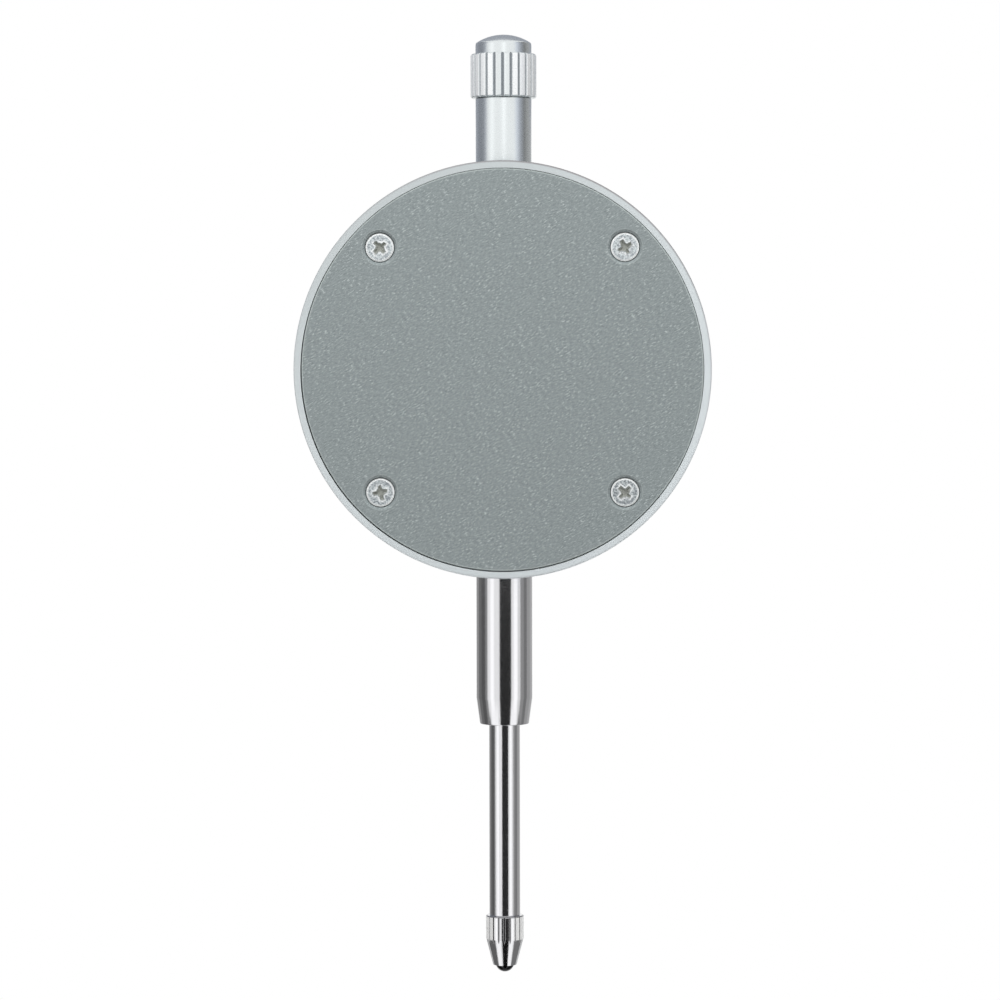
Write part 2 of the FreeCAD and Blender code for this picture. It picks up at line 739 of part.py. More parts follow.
def dust_cap():
    """The fluted cap: a fluted grip, a plain shoulder and a shallow dome, hollow for the spindle."""
    body = make_body("dust_cap", z="case_height")
    low = "cap_bottom + cap_seat_gap"
    grip = "cap_bottom + cap_seat_gap + cap_flute_length"
    seal = "neck_radius + 2 * seal_clear + 2 * cap_seal_section"
    seal_top = "cap_bottom + 2 * cap_seal_section + 2 * seal_clear"
    neck_top = "cap_bottom + neck_length + spindle_top_clear"
    turned = draw(body, "XZ")
    outline(turned, [
        (seal, low), ("cap_flute_radius", low), ("cap_flute_radius", grip), ("sleeve_radius", grip),
        ("sleeve_radius", "cap_apex - cap_dome_height"), ("0", "cap_apex"), ("0", "cap_inside"),
        ("spindle_bore", "cap_inside"), ("spindle_bore", neck_top), ("neck_radius + thread_clear", neck_top),
        ("neck_radius + thread_clear", seal_top), (seal, seal_top)],
        {4: ("(pow(sleeve_radius; 2) + pow(cap_dome_height; 2)) / (2 * cap_dome_height)", False)})
    revolve(body, turned, "Z")
    ends = circles(body, "cap_flute_radius", "z", low) + circles(body, "cap_flute_radius", "z", grip)
    break_edges(body, "Chamfer", "cap_edge_chamfer", ends)
    shoulder = circles(body, "sleeve_radius", "z", "cap_apex - cap_dome_height")
    break_edges(body, "Fillet", "cap_shoulder_round", shoulder)
    flute(body, "cap_flute_radius", "cap_flute_width", "cap_flute_depth",
          low, "cap_flute_length", "cap_flutes")
    return body


def dust_cap_seal():
    """The O-ring round the neck, under the cap."""
    ring = document.addObject("Part::Torus", "dust_cap_seal")
    ring.setExpression("Radius1", cells("neck_radius + seal_clear + cap_seal_section"))
    ring.setExpression("Radius2", cells("cap_seal_section"))
    return put(ring, "dust_cap_seal", z="case_height + cap_bottom + cap_seal_section + seal_clear / 2")


def spindle():
    """The ground steel spindle, tapped at its lower end for the contact point."""
    body = make_body("spindle")
    top = "case_height + spindle_top"
    bore = "point_stud_radius + screw_hole_clear"
    turned = draw(body, "XZ")
    outline(turned, [
        (bore, "point_top"), ("spindle_radius", "point_top"), ("spindle_radius", f"{top} - spindle_chamfer"),
        ("spindle_radius - spindle_chamfer", top), ("0", top),
        ("0", "point_top + point_stud_length + bumper_clear"),
        (bore, "point_top + point_stud_length + bumper_clear")])
    revolve(body, turned, "Z")
    return body


def contact_point():
    """The exchangeable point: a stud, a fluted collar and a cone that holds the ball."""
    body = make_body("contact_point")
    cone_top = "point_top - point_collar_length"
    cone_end = "point_top - point_collar_length - point_cone_length"
    ball_middle = f"{cone_end} - ball_stand_out + ball_radius"
    mouth = "sqrt(pow(ball_radius; 2) - pow(ball_radius - ball_stand_out; 2))"
    turned = draw(body, "XZ")
    outline(turned, [
        ("0", "point_top + point_stud_length"), ("0", f"{ball_middle} + ball_radius"),
        (mouth, cone_end), ("point_end_radius", cone_end), ("point_collar_radius", cone_top),
        ("point_collar_radius", "point_top - point_collar_chamfer"),
        ("point_collar_radius - point_collar_chamfer", "point_top"), ("point_stud_radius", "point_top"),
        ("point_stud_radius", "point_top + point_stud_length")],
        {1: ("ball_radius", True)})
    revolve(body, turned, "Z")
    flute(body, "point_collar_radius", "point_flute_width", "point_flute_depth",
          f"{cone_top} - point_cone_length / 2", "point_collar_length + point_cone_length / 2",
          "point_flutes")
    return body


def contact_ball():
    """The hard ball in the end of the point."""
    ball = document.addObject("Part::Sphere", "contact_ball")
    ball.setExpression("Radius", cells("ball_radius"))
    middle = "point_top - point_collar_length - point_cone_length - ball_stand_out + ball_radius"
    return put(ball, "contact_ball", z=middle)


def lower_bumper():
    """The soft washer on the stem's inner end that the bracket rests on."""
    body = make_body("lower_bumper", z="case_height")
    ring = draw(body, "XY", "stem_inside")
    circle(ring, "0", "0", "spigot_radius")
    circle(ring, "0", "0", "spindle_radius + bumper_clear")
    pad(body, ring, "bumper_thick", 1)
    return body


def scale_bracket():
    """The bracket clamped on the spindle: a split block, a fork on the guide rod and a back plate
    for the grid scale."""
    body = make_body("scale_bracket", z="case_height")
    half = "bracket_half_width"
    fork_end = "0 - rod_from_axis - fork_depth"
    form = draw(body, "XY", "bracket_bottom")
    outline(form, [
        (f"0 - {half}", "0 - bracket_back"), (half, "0 - bracket_back"), (half, "scale_back + scale_plate"),
        (f"0 - {half}", "scale_back + scale_plate"), (f"0 - {half}", "fork_half_depth"),
        (fork_end, "fork_half_depth"), (fork_end, "0 - fork_half_depth"),
        (f"0 - {half}", "0 - fork_half_depth")])
    pad(body, form, "bracket_height", 1)
    plate = draw(body, "XZ", "scale_back")
    low = "bracket_bottom - scale_below_bracket"
    rectangle(plate, (f"0 - {half}", half), (low, f"{low} + scale_length"))
    pad(body, plate, "scale_plate", 1)
    bore = draw(body, "XY", "bracket_bottom")
    circle(bore, "0", "0", "spindle_radius")
    pocket(body, bore, "bracket_height", 1)
    slit = draw(body, "XY", "bracket_bottom")
    rectangle(slit, ("0 - bracket_slit / 2", "bracket_slit / 2"),
              ("0 - 2 * bracket_back", "0 - spindle_radius / 2"))
    pocket(body, slit, "bracket_height", 1)
    fork = draw(body, "XY", "bracket_bottom")
    gap = "rod_radius + running_clear"
    outline(fork, [
        ("0 - rod_from_axis - 2 * fork_depth", f"0 - ({gap})"), ("0 - rod_from_axis", f"0 - ({gap})"),
        (f"0 - rod_from_axis + {gap}", "0"), ("0 - rod_from_axis", gap),
        ("0 - rod_from_axis - 2 * fork_depth", gap)], {1: (gap, False), 2: (gap, False)})
    pocket(body, fork, "bracket_height", 1)
    cross = draw(body, "YZ", f"0 - {half}")
    circle(cross, "0 - clamp_screw_from_axis", "bracket_bottom + bracket_height / 2",
           "clamp_screw_radius + screw_hole_clear")
    pocket(body, cross, f"2 * {half}", 1)
    return body


def bracket_clamp_screw():
    """The slotted screw that draws the split block together."""
    body = make_body("bracket_clamp_screw", x="bracket_half_width", y="0 - clamp_screw_from_axis",
                     z="case_height + bracket_bottom + bracket_height / 2")
    turned = draw(body, "XY")
    tip = "bracket_half_width / 2 - 2 * bracket_half_width"
    outline(turned, [
        (tip, "0"), (tip, "clamp_screw_radius"), ("0", "clamp_screw_radius"),
        ("0", "clamp_screw_head_radius"), ("clamp_screw_head_height", "clamp_screw_head_radius"),
        ("clamp_screw_head_height", "0")])
    revolve(body, turned, "X")
    slot = draw(body, "YZ", "clamp_screw_head_height")
    rectangle(slot, ("0 - clamp_screw_radius / 4", "clamp_screw_radius / 4"),
              ("0 - 2 * clamp_screw_head_radius", "2 * clamp_screw_head_radius"))
    pocket(body, slot, "clamp_screw_head_height / 2", -1)
    return body


def grid_scale():
    """The printed strip whose pattern the board reads."""
    low = "bracket_bottom - scale_below_bracket"
    return box("grid_scale", ("0 - bracket_half_width", "bracket_half_width"),
               ("scale_back + scale_plate", "scale_front"), (low, f"{low} + scale_length"))


def return_spring():
    """The compression spring round the spindle, from the bracket to the sleeve's inner end."""
    body = make_body("return_spring", z="case_height")
    wire = draw(body, "XZ")
    middle = "bracket_top + spring_wire / 2"
    near, side = "spring_wire / 4", "spring_wire / 4 * sqrt(3)"
    outline(wire, [
        ("spring_radius - spring_wire / 2", middle), (f"spring_radius - {near}", f"{middle} - {side}"),
        (f"spring_radius + {near}", f"{middle} - {side}"), ("spring_radius + spring_wire / 2", middle),
        (f"spring_radius + {near}", f"{middle} + {side}"),
        (f"spring_radius - {near}", f"{middle} + {side}")])
    coil = body.newObject("PartDesign::AdditiveHelix", "return_spring_coil")
    coil.Profile = (wire, [""])
    coil.ReferenceAxis = (origin(body, "Z_Axis"), [""])
    coil.Mode = "height-turns-angle"
    coil.setExpression("Height", cells("sleeve_inside - (bracket_top) - spring_wire"))
    coil.setExpression("Turns", cells("spring_turns"))
    document.recompute()
    return body


def guide_rod():
    """The rod that keeps the bracket from turning."""
    rod = document.addObject("Part::Cylinder", "guide_rod")
    rod.setExpression("Radius", cells("rod_radius"))
    rod.setExpression("Height", cells("2 * rod_reach"))
    return put(rod, "guide_rod", x="0 - rod_from_axis", z="case_height - (rod_reach)")


def guide_rod_screws():
    """Two screws whose heads hold the rod's ends in their saddles."""
    form = screw_form("rod_screw_form", "rod_screw_head", "small_head_height", "small_screw_radius",
                      "rod_screw_shank", "small_head_height / 4",
                      ("cross_reach", "cross_width / 2", "cross_depth"))
    places = [("0 - (rod_screw_x)", "0 - rod_radius", f"case_height {sign} (rod_screw_z)")
              for sign in "+-"]
    return copies("guide_rod_screws", form, places, [20, 70])


def main_board():
    """The round board, read by the grid scale's pattern behind it."""
    body = make_body("main_board", z="case_height")
    disc = draw(body, "XZ", "board_back")
    circle(disc, "0", "0", "board_radius")
    pad(body, disc, "board_thick", 1)
    holes = draw(body, "XZ", "board_back")
    for x, z in (("upper_post_x", "upper_post_z"), ("lower_post_x", "0 - lower_post_z")):
        for side in ("", "0 - "):
            circle(holes, side + x, z, "board_screw_radius + 2 * screw_hole_clear")
    pocket(body, holes, "board_thick", 1)
    return body


def board_screws():
    """The four screws that hold the board on its posts."""
    form = screw_form("board_screw_form", "board_screw_head", "board_screw_head_height",
                      "board_screw_radius", "board_screw_length", "board_screw_head_height / 4",
                      ("cross_reach", "cross_width / 2", "cross_depth"))
    places = []
    for x, z in (("upper_post_x", "case_height + upper_post_z"),
                 ("lower_post_x", "case_height - lower_post_z")):
        places += [(side + x, "board_back", z) for side in ("", "0 - ")]
    return copies("board_screws", form, places, [15, 60, 80, 35])


def controller_chip():
    """The chip under its square of resin, between the display's two contact strips."""
    return box("controller_chip", ("0 - chip_size / 2", "chip_size / 2"),
               ("board_front", "board_front + chip_height"),
               ("lcd_rise - chip_size / 2", "lcd_rise + chip_size / 2"))


def clock_crystal():
    """The small can that gives the chip its clock."""
    can = document.addObject("Part::Cylinder", "clock_crystal")
    can.setExpression("Radius", cells("crystal_radius"))
    can.setExpression("Height", cells("crystal_length"))
    can.Placement = FreeCAD.Placement(Vector(), FreeCAD.Rotation(Vector(0, 1, 0), 90))
    return put(can, "clock_crystal", x="cell_radius + well_wall + 2 * crystal_radius",
               y="board_front + crystal_radius", z="case_height - cell_drop + cell_radius")


def lcd_contact_strips():
    """The two rubber strips that join the board to the glass."""
    width = ("strip_short - lcd_width / 2", "lcd_width / 2 - strip_short")
    depth = ("board_front", "lcd_back")
    edge = "lcd_rise {0} lcd_height / 2"
    low = box("lower_strip", width, depth, (edge.format("-"), f"{edge.format('-')} + strip_width"))
    high = box("upper_strip", width, depth, (f"{edge.format('+')} - strip_width", edge.format("+")))
    return compound("lcd_contact_strips", [low, high])


def lcd_glass():
    """The display's two panes, the front one shorter so that the rear one's contacts are bare."""
    body = make_body("lcd_glass", z="case_height")
    width = ("0 - lcd_width / 2", "lcd_width / 2")
    rear = draw(body, "XZ", "lcd_back")
    rectangle(rear, width, ("lcd_rise - lcd_height / 2", "lcd_rise + lcd_height / 2"))
    pad(body, rear, "lcd_glass", 1)
    front = draw(body, "XZ", "lcd_back + lcd_glass")
    rectangle(front, width, ("lcd_rise - lcd_height / 2 + lcd_step", "lcd_rise + lcd_height / 2"))
    pad(body, front, "lcd_glass", 1)
    return body


def lcd_frame():
    """The moulded frame that holds the glass and its strips on the board."""
    body = make_body("lcd_frame", z="case_height")
    rim = draw(body, "XZ", "board_front")
    rectangle(rim, ("0 - (frame_width) / 2", "(frame_width) / 2"),
              ("lcd_rise - (frame_height) / 2", "lcd_rise + (frame_height) / 2"))
    rectangle(rim, ("0 - lcd_width / 2 - lcd_fit", "lcd_width / 2 + lcd_fit"),
              ("lcd_rise - lcd_height / 2 - lcd_fit", "lcd_rise + lcd_height / 2 + lcd_fit"))
    pad(body, rim, "lcd_face - board_front", 1)
    lip = draw(body, "XZ", "lcd_face")
    rectangle(lip, ("0 - (frame_width) / 2", "(frame_width) / 2"),
              ("lcd_rise - (frame_height) / 2", "lcd_rise + (frame_height) / 2"))
    rectangle(lip, ("lcd_lip_width - lcd_width / 2", "lcd_width / 2 - lcd_lip_width"),
              ("lcd_rise - lcd_height / 2 + lcd_lip_width", "lcd_rise + lcd_height / 2 - lcd_lip_width"))
    pad(body, lip, "lcd_frame_lip", 1)
    return body


def display_window():
    """The clear lens in the face plate, on the front wall's ledge."""
    body = make_body("display_window", z="case_height")
    lens = draw(body, "XZ", "plate_seat")
    round_rectangle(lens, ("0 - (window_width) / 2", "(window_width) / 2"),
                    ("lcd_rise - (window_height) / 2", "lcd_rise + (window_height) / 2"), "window_corner")
    pad(body, lens, "plate_thick", 1)
    return body


def face_plate():
    """The plate glued in the front, cut out for the window, the buttons and the battery cover."""
    body = make_body("face_plate", z="case_height")
    disc = draw(body, "XZ", "plate_seat")
    circle(disc, "0", "0", "panel_radius - panel_clear")
    round_rectangle(disc, ("0 - (window_width) / 2 - window_clear", "(window_width) / 2 + window_clear"),
                    ("lcd_rise - (window_height) / 2 - window_clear",
                     "lcd_rise + (window_height) / 2 + window_clear"), "window_corner")
    for x in ("0 - button_spacing", "0", "button_spacing"):
        circle(disc, x, "0 - button_drop", "button_radius + button_clear")
    circle(disc, "0", "0 - cell_drop", "battery_cap_radius + battery_cap_clear")
    pad(body, disc, "plate_thick", 1)
    return body


def button(name, x):
    """A moulded button: its cap, the flange that stops it inside and the tail over its switch."""
    body = make_body(name, x=x, z="case_height - button_drop")
    front = "front_inside - seat_clear"
    tail = "board_front + switch_height + switch_gap + button_travel"
    top = "plate_face + button_proud"
    turned = draw(body, "YZ")
    outline(turned, [
        (tail, "0"), (tail, "button_tail_radius"), (f"{front} - button_flange_thick", "button_tail_radius"),
        (f"{front} - button_flange_thick", "button_flange_radius"), (front, "button_flange_radius"),
        (front, "button_radius"), (top, "button_radius"), (top, "0")])
    revolve(body, turned, "Y")
    break_edges(body, "Fillet", "button_round", circles(body, "button_radius", "y", top))
    return body


def button_switches():
    """The three small switches on the board, one behind each button."""
    form = make_body("switch_form")
    case = draw(form, "XZ")
    rectangle(case, ("0 - switch_size / 2", "switch_size / 2"), ("0 - switch_size / 2", "switch_size / 2"))
    pad(form, case, "switch_height * 3 / 4", 1)
    key = draw(form, "XZ")
    circle(key, "0", "0", "switch_size / 5")
    pad(form, key, "switch_height", 1)
    places = [(x, "board_front", "case_height - button_drop")
              for x in ("0 - button_spacing", "0", "button_spacing")]
    return copies("button_switches", form, places)


def battery_cell():
    """The button cell, its narrow negative side on the board's leaf."""
    body = make_body("battery_cell", z="case_height - cell_drop")
    turned = draw(body, "YZ")
    outline(turned, [
        ("cell_back", "0"), ("cell_back", "cell_radius - well_wall"),
        ("cell_back + leaf_thick", "cell_radius - well_wall"), ("cell_back + leaf_thick", "cell_radius"),
        ("cell_front", "cell_radius"), ("cell_front", "0")])
    revolve(body, turned, "Y")
    return body


def battery_leaf():
    """The flat contact under the cell."""
    return box("battery_leaf", ("0 - cell_radius + well_wall", "cell_radius - well_wall"),
               ("board_front", "cell_back"),
               ("0 - cell_drop - leaf_width / 2", "leaf_width / 2 - cell_drop"))


def battery_side_contact():
    """The bent strip that stands on the board and touches the cell's side."""
    body = make_body("battery_side_contact", z="case_height - cell_drop")
    side = draw(body, "XY", "0 - leaf_width / 2")
    far = "cell_radius + 3 * well_wall"
    high = "cell_front - 2 * well_wall"
    outline(side, [
        ("cell_radius", "board_front"), (far, "board_front"), (far, "board_front + leaf_thick"),
        ("cell_radius + leaf_thick", "board_front + leaf_thick"), ("cell_radius + leaf_thick", high),
        ("cell_radius", high)])
    pad(body, side, "leaf_width", 1)
    return body


def battery_cover():
    """The coin-slot cover that screws into the battery well."""
    body = make_body("battery_cover", z="case_height - cell_drop")
    under = "battery_seat + cap_seat_gap"
    turned = draw(body, "YZ")
    outline(turned, [
        ("cell_front + 2 * panel_clear", "0"), ("cell_front + 2 * panel_clear", "battery_thread_radius"),
        (under, "battery_thread_radius"), (under, "battery_cap_radius"),
        ("plate_face", "battery_cap_radius"), ("plate_face", "0")])
    revolve(body, turned, "Y")
    middle = "(battery_thread_radius + battery_cap_radius) / 2"
    half = "battery_seal_section + seal_clear / 2"
    ring = draw(body, "YZ")
    rectangle(ring, (under, "battery_seat + 2 * battery_seal_section + seal_clear"),
              (f"{middle} - ({half})", f"{middle} + {half}"))
    groove(body, ring, "Y")
    break_edges(body, "Fillet", "button_round / 2", circles(body, "battery_cap_radius", "y", "plate_face"))
    slot = draw(body, "XZ", "plate_face")
    rectangle(slot, ("0 - coin_slot_length / 2", "coin_slot_length / 2"),
              ("0 - coin_slot_width / 2", "coin_slot_width / 2"))
    pocket(body, slot, "coin_slot_depth", -1)
    return body


def battery_cover_seal():
    """The O-ring in the cover's groove."""
    ring = document.addObject("Part::Torus", "battery_cover_seal")
    ring.setExpression("Radius1", cells("(battery_thread_radius + battery_cap_radius) / 2"))
    ring.setExpression("Radius2", cells("battery_seal_section"))
    ring.Placement = FreeCAD.Placement(Vector(), FreeCAD.Rotation(Vector(1, 0, 0), 90))
    return put(ring, "battery_cover_seal", y="battery_seat + battery_seal_section + seal_clear / 2",
               z="case_height - cell_drop")


def port_socket():
    """The moulded socket on the board's edge, open towards the side wall."""
    body = make_body("port_socket", z="case_height")
    half = "port_width / 2 - contact_pin_width"
    case = draw(body, "YZ", "socket_back")
    rectangle(case, ("board_front", "board_front + socket_height"), (f"0 - ({half})", half))
    pad(body, case, "socket_length", 1)
    wall = "contact_pin_width / 2"
    mouth = draw(body, "YZ", "board_radius")
    rectangle(mouth, (f"board_front + {wall}", f"board_front + socket_height - {wall}"),
              (f"{wall} - ({half})", f"{half} - {wall}"))
    pocket(body, mouth, "socket_length - contact_pin_width", -1)
    return body


def port_pins():
    """The socket's contact blades, standing out of its back wall."""
    form = make_body("pin_form")
    blade = draw(form, "YZ")
    rectangle(blade, ("0 - leaf_thick", "leaf_thick"),
              ("0 - contact_pin_width / 2", "contact_pin_width / 2"))
    pad(form, blade, "socket_length - contact_pin_reach", 1)
    back = "socket_back + contact_pin_width"
    first = "case_height - contact_pin_spacing * (contact_pins - 1) / 2"
    places = [(back, "port_middle", f"{first} + {number} * contact_pin_spacing")
              for number in range(round(value("contact_pins")))]
    return copies("port_pins", form, places)


def port_cover():
    """The plug that closes the port, its outer face following the case's round side."""
    body = make_body("port_cover", z="case_height")
    inner = "case_radius - port_cover_depth"
    outer = "sqrt(pow(case_radius; 2) - pow(port_width / 2; 2))"
    side = draw(body, "XZ", "port_middle - port_height / 2")
    outline(side, [
        (inner, "0 - port_width / 2"), (outer, "0 - port_width / 2"), (outer, "port_width / 2"),
        (inner, "port_width / 2")], {1: ("case_radius", False)})
    pad(body, side, "port_height", 1)
    return body


stem_low = "stem_end + bush_recess"
nodes = [
    main_housing(), back_cover(), back_cover_gasket(), back_cover_screws(),
    stem(), bush("stem_bush", stem_low, "stem_bush_length"), lower_bumper(),
    upper_sleeve(), bush("sleeve_bush", "case_height + sleeve_inside", "sleeve_bush_length"),
    dust_cap(), dust_cap_seal(),
    spindle(), contact_point(), contact_ball(),
    scale_bracket(), bracket_clamp_screw(), grid_scale(), return_spring(),
    guide_rod(), guide_rod_screws(),
    main_board(), board_screws(), controller_chip(), clock_crystal(),
    lcd_contact_strips(), lcd_glass(), lcd_frame(), display_window(), face_plate(),
    button("units_button", "0 - button_spacing"), button("power_button", "0"),
    button("zero_button", "button_spacing"), button_switches(),
    battery_cell(), battery_leaf(), battery_side_contact(), battery_cover(), battery_cover_seal(),
    port_socket(), port_pins(), port_cover(),
]
document.recompute()

for item in document.Objects:
    if "Invalid" in item.State or "Error" in item.State:
        raise RuntimeError(f"{item.Label} is {item.State}")
os.makedirs("parts", exist_ok=True)
for node in nodes:
    if node.Shape.isNull() or not node.Shape.isValid():
        raise RuntimeError(f"{node.Label} has no valid shape")
    node.Shape.exportStep(f"parts/{node.Label}.step")
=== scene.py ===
"""The looks of a digital dial indicator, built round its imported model.

Everything is in metres in the model's own frame: +Z runs up the spindle, the back cover faces -Y and
the display faces +Y. The sections follow the instrument as it is put together.
"""

import bpy
import numpy as np
from mathutils import Matrix, Vector


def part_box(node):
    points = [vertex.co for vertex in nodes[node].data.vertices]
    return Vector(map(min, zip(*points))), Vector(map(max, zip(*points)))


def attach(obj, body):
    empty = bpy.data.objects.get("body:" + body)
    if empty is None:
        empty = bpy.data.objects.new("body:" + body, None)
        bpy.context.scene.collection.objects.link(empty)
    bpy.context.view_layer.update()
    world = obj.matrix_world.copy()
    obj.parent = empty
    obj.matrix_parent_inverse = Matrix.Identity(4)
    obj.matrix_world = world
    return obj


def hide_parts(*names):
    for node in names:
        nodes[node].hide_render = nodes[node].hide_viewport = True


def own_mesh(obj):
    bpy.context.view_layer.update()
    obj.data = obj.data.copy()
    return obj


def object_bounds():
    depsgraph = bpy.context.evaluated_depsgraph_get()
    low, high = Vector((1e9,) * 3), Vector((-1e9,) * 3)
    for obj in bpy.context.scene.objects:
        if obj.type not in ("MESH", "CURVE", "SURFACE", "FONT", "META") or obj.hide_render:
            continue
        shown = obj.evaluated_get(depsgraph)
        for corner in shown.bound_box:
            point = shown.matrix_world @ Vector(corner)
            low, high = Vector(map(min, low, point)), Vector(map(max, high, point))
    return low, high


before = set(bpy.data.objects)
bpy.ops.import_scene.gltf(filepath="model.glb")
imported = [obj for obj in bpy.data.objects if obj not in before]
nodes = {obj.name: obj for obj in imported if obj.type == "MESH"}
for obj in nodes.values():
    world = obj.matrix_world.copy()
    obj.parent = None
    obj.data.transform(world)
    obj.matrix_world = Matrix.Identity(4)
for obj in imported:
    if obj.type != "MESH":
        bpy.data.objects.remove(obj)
cad_low, cad_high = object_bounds()
mm = 0.001

# Housing
# The die-cast cup that carries everything: its turned side wall and rim show all round, and its
# bosses, posts and battery well are inside. Zinc casting, plated satin silver.


def seen(red, green, blue):
    """The linear colour of a display colour: ((c + 0.055) / 1.055) to the power 2.4, or c / 12.92."""
    c = np.array([red, green, blue]) / 255
    return tuple(np.where(c > 0.04045, ((c + 0.055) / 1.055) ** 2.4, c / 12.92).tolist())


def finish(name, colour, roughness, **sockets):
    """A material whose even colours and numbers are set on the shader's own sockets."""
    material = bpy.data.materials.new(name)
    material.use_nodes = True
    shader = material.node_tree.nodes["Principled BSDF"]
    shader.inputs["Base Color"].default_value = (*colour, 1)
    shader.inputs["Roughness"].default_value = roughness
    for socket, value in sockets.items():
        shader.inputs[socket.replace("_", " ")].default_value = value
    return material


def add(material, kind, **settings):
    """A new node of a material; each setting is a property or else an input's value."""
    node = material.node_tree.nodes.new(kind)
    for key, value in settings.items():
        if hasattr(node, key):
            setattr(node, key, value)
        else:
            node.inputs[key.replace("_", " ")].default_value = value
    return node


def join(material, source, output, target, entry):
    """Leads an output of one node to an entry of another."""
    material.node_tree.links.new(source.outputs[output], target.inputs[entry])


def feed(material, output, socket):
    """Leads a node's output to one of the shader's own sockets."""
    material.node_tree.links.new(output, material.node_tree.nodes["Principled BSDF"].inputs[socket])


def grain(material, size, stretch=(1, 1, 1), detail=3, tilt=0):
    """Cloudy noise on the piece's own coordinates. size is the width of a spot in metres, stretch
    makes it longer along an axis, and tilt turns that axis round Y, by so many degrees."""
    place = add(material, "ShaderNodeTexCoord")
    scale = add(material, "ShaderNodeMapping", vector_type="TEXTURE", Scale=stretch,
                Rotation=(0, np.radians(tilt), 0))
    noise = add(material, "ShaderNodeTexNoise", Scale=1 / size, Detail=detail)
    join(material, place, "Object", scale, "Vector")
    join(material, scale, "Vector", noise, "Vector")
    return noise


def span(material, value, low, high, start=0.0, stop=1.0):
    """Runs evenly from start to stop while the value runs from low to high, and stays there."""
    node = add(material, "ShaderNodeMapRange", From_Min=low, From_Max=high, To_Min=start, To_Max=stop)
    material.node_tree.links.new(value, node.inputs["Value"])
    return node.outputs["Result"]


def wear(material, noise, smooth, rough):
    """Roughness between two values, as the noise goes from 0.3 to 0.7."""
    feed(material, span(material, noise.outputs["Fac"], 0.3, 0.7, smooth, rough), "Roughness")


def relief(material, noise, depth):
    """Fine relief of a depth in metres, by the noise."""
    bump = add(material, "ShaderNodeBump", Strength=1.0, Distance=depth)
    join(material, noise, "Fac", bump, "Height")
    feed(material, bump.outputs["Normal"], "Normal")


def clad(material, *names):
    """Gives CAD nodes a material."""
    for name in names:
        nodes[name].data.materials.clear()
        nodes[name].data.materials.append(material)


def reckon(material, kind, first, second):
    """A sum done on two values, each a node's output or a number that stands for itself."""
    node = add(material, "ShaderNodeMath", operation=kind)
    for entry, value in enumerate((first, second)):
        if isinstance(value, (int, float)):
            node.inputs[entry].default_value = value
        else:
            material.node_tree.links.new(value, node.inputs[entry])
    return node.outputs[0]


def blend(material, share, under, over):
    """Lays an even colour over another, which is a node's output or an even colour too, by a share."""
    node = add(material, "ShaderNodeMix", data_type="RGBA")
    material.node_tree.links.new(share, node.inputs["Factor"])
    if isinstance(under, tuple):
        node.inputs["A"].default_value = (*under, 1)
    else:
        material.node_tree.links.new(under, node.inputs["A"])
    node.inputs["B"].default_value = (*over, 1)
    return node.outputs["Result"]


case_radius = 29.2 * mm
case_centre = (0, 37.75 * mm)
plated_colour = seen(227, 233, 234)
# The way towards which the plating's painted light grows paler
painted_light_way = (0.5, 0, -0.87)
cloud_reach = 2 * mm


def satin_plating(name):
    """A plated casting whose colour is painted paler towards its lower right, as painted light: the
    share of the paler colour is the way in that direction, shifted by a cloud, over the case's width."""
    material = finish(name, plated_colour, 0.62, Metallic=1.0)
    place = add(material, "ShaderNodeTexCoord")
    hung = add(material, "ShaderNodeVectorMath", operation="DOT_PRODUCT")
    hung.inputs[1].default_value = painted_light_way
    join(material, place, "Object", hung, 0)
    way = reckon(material, "ADD", hung.outputs["Value"], -painted_light_way[2] * case_centre[1])
    cloud = grain(material, 4 * mm)
    shift = reckon(material, "MULTIPLY", cloud.outputs["Fac"], cloud_reach)
    paler = span(material, reckon(material, "ADD", way, shift), -case_radius, case_radius + cloud_reach)
    wear(material, cloud, 0.61, 0.63)
    relief(material, grain(material, 0.12 * mm), 0.004 * mm)
    return material, blend(material, paler, seen(213, 219, 220), seen(243, 249, 251))


plated, plated_painted_light = satin_plating("satin_plated_casting")
feed(plated, plated_painted_light, "Base Color")
clad(plated, "main_housing")


def soften(corners, size):
    """A closed profile with its corners rounded: each corner C gives way to the curve
    (1 - t) squared A + 2 t (1 - t) C + t squared B, where A and B lie `size` along its two sides."""
    corners = np.asarray(corners, float)
    before = np.roll(corners, 1, 0) - corners
    after = np.roll(corners, -1, 0) - corners
    reach = np.broadcast_to(size, len(corners))[:, None]
    t = np.linspace(0, 1, 6)[None, :, None]
    ends = []
    for side in (before, after):
        length = np.linalg.norm(side, axis=1, keepdims=True)
        ends.append(corners + side / length * np.minimum(reach, 0.4 * length))
    start, stop = (end[:, None] for end in ends)
    curve = (1 - t) ** 2 * start + 2 * t * (1 - t) * corners[:, None] + t**2 * stop
    return curve.reshape(-1, 2)


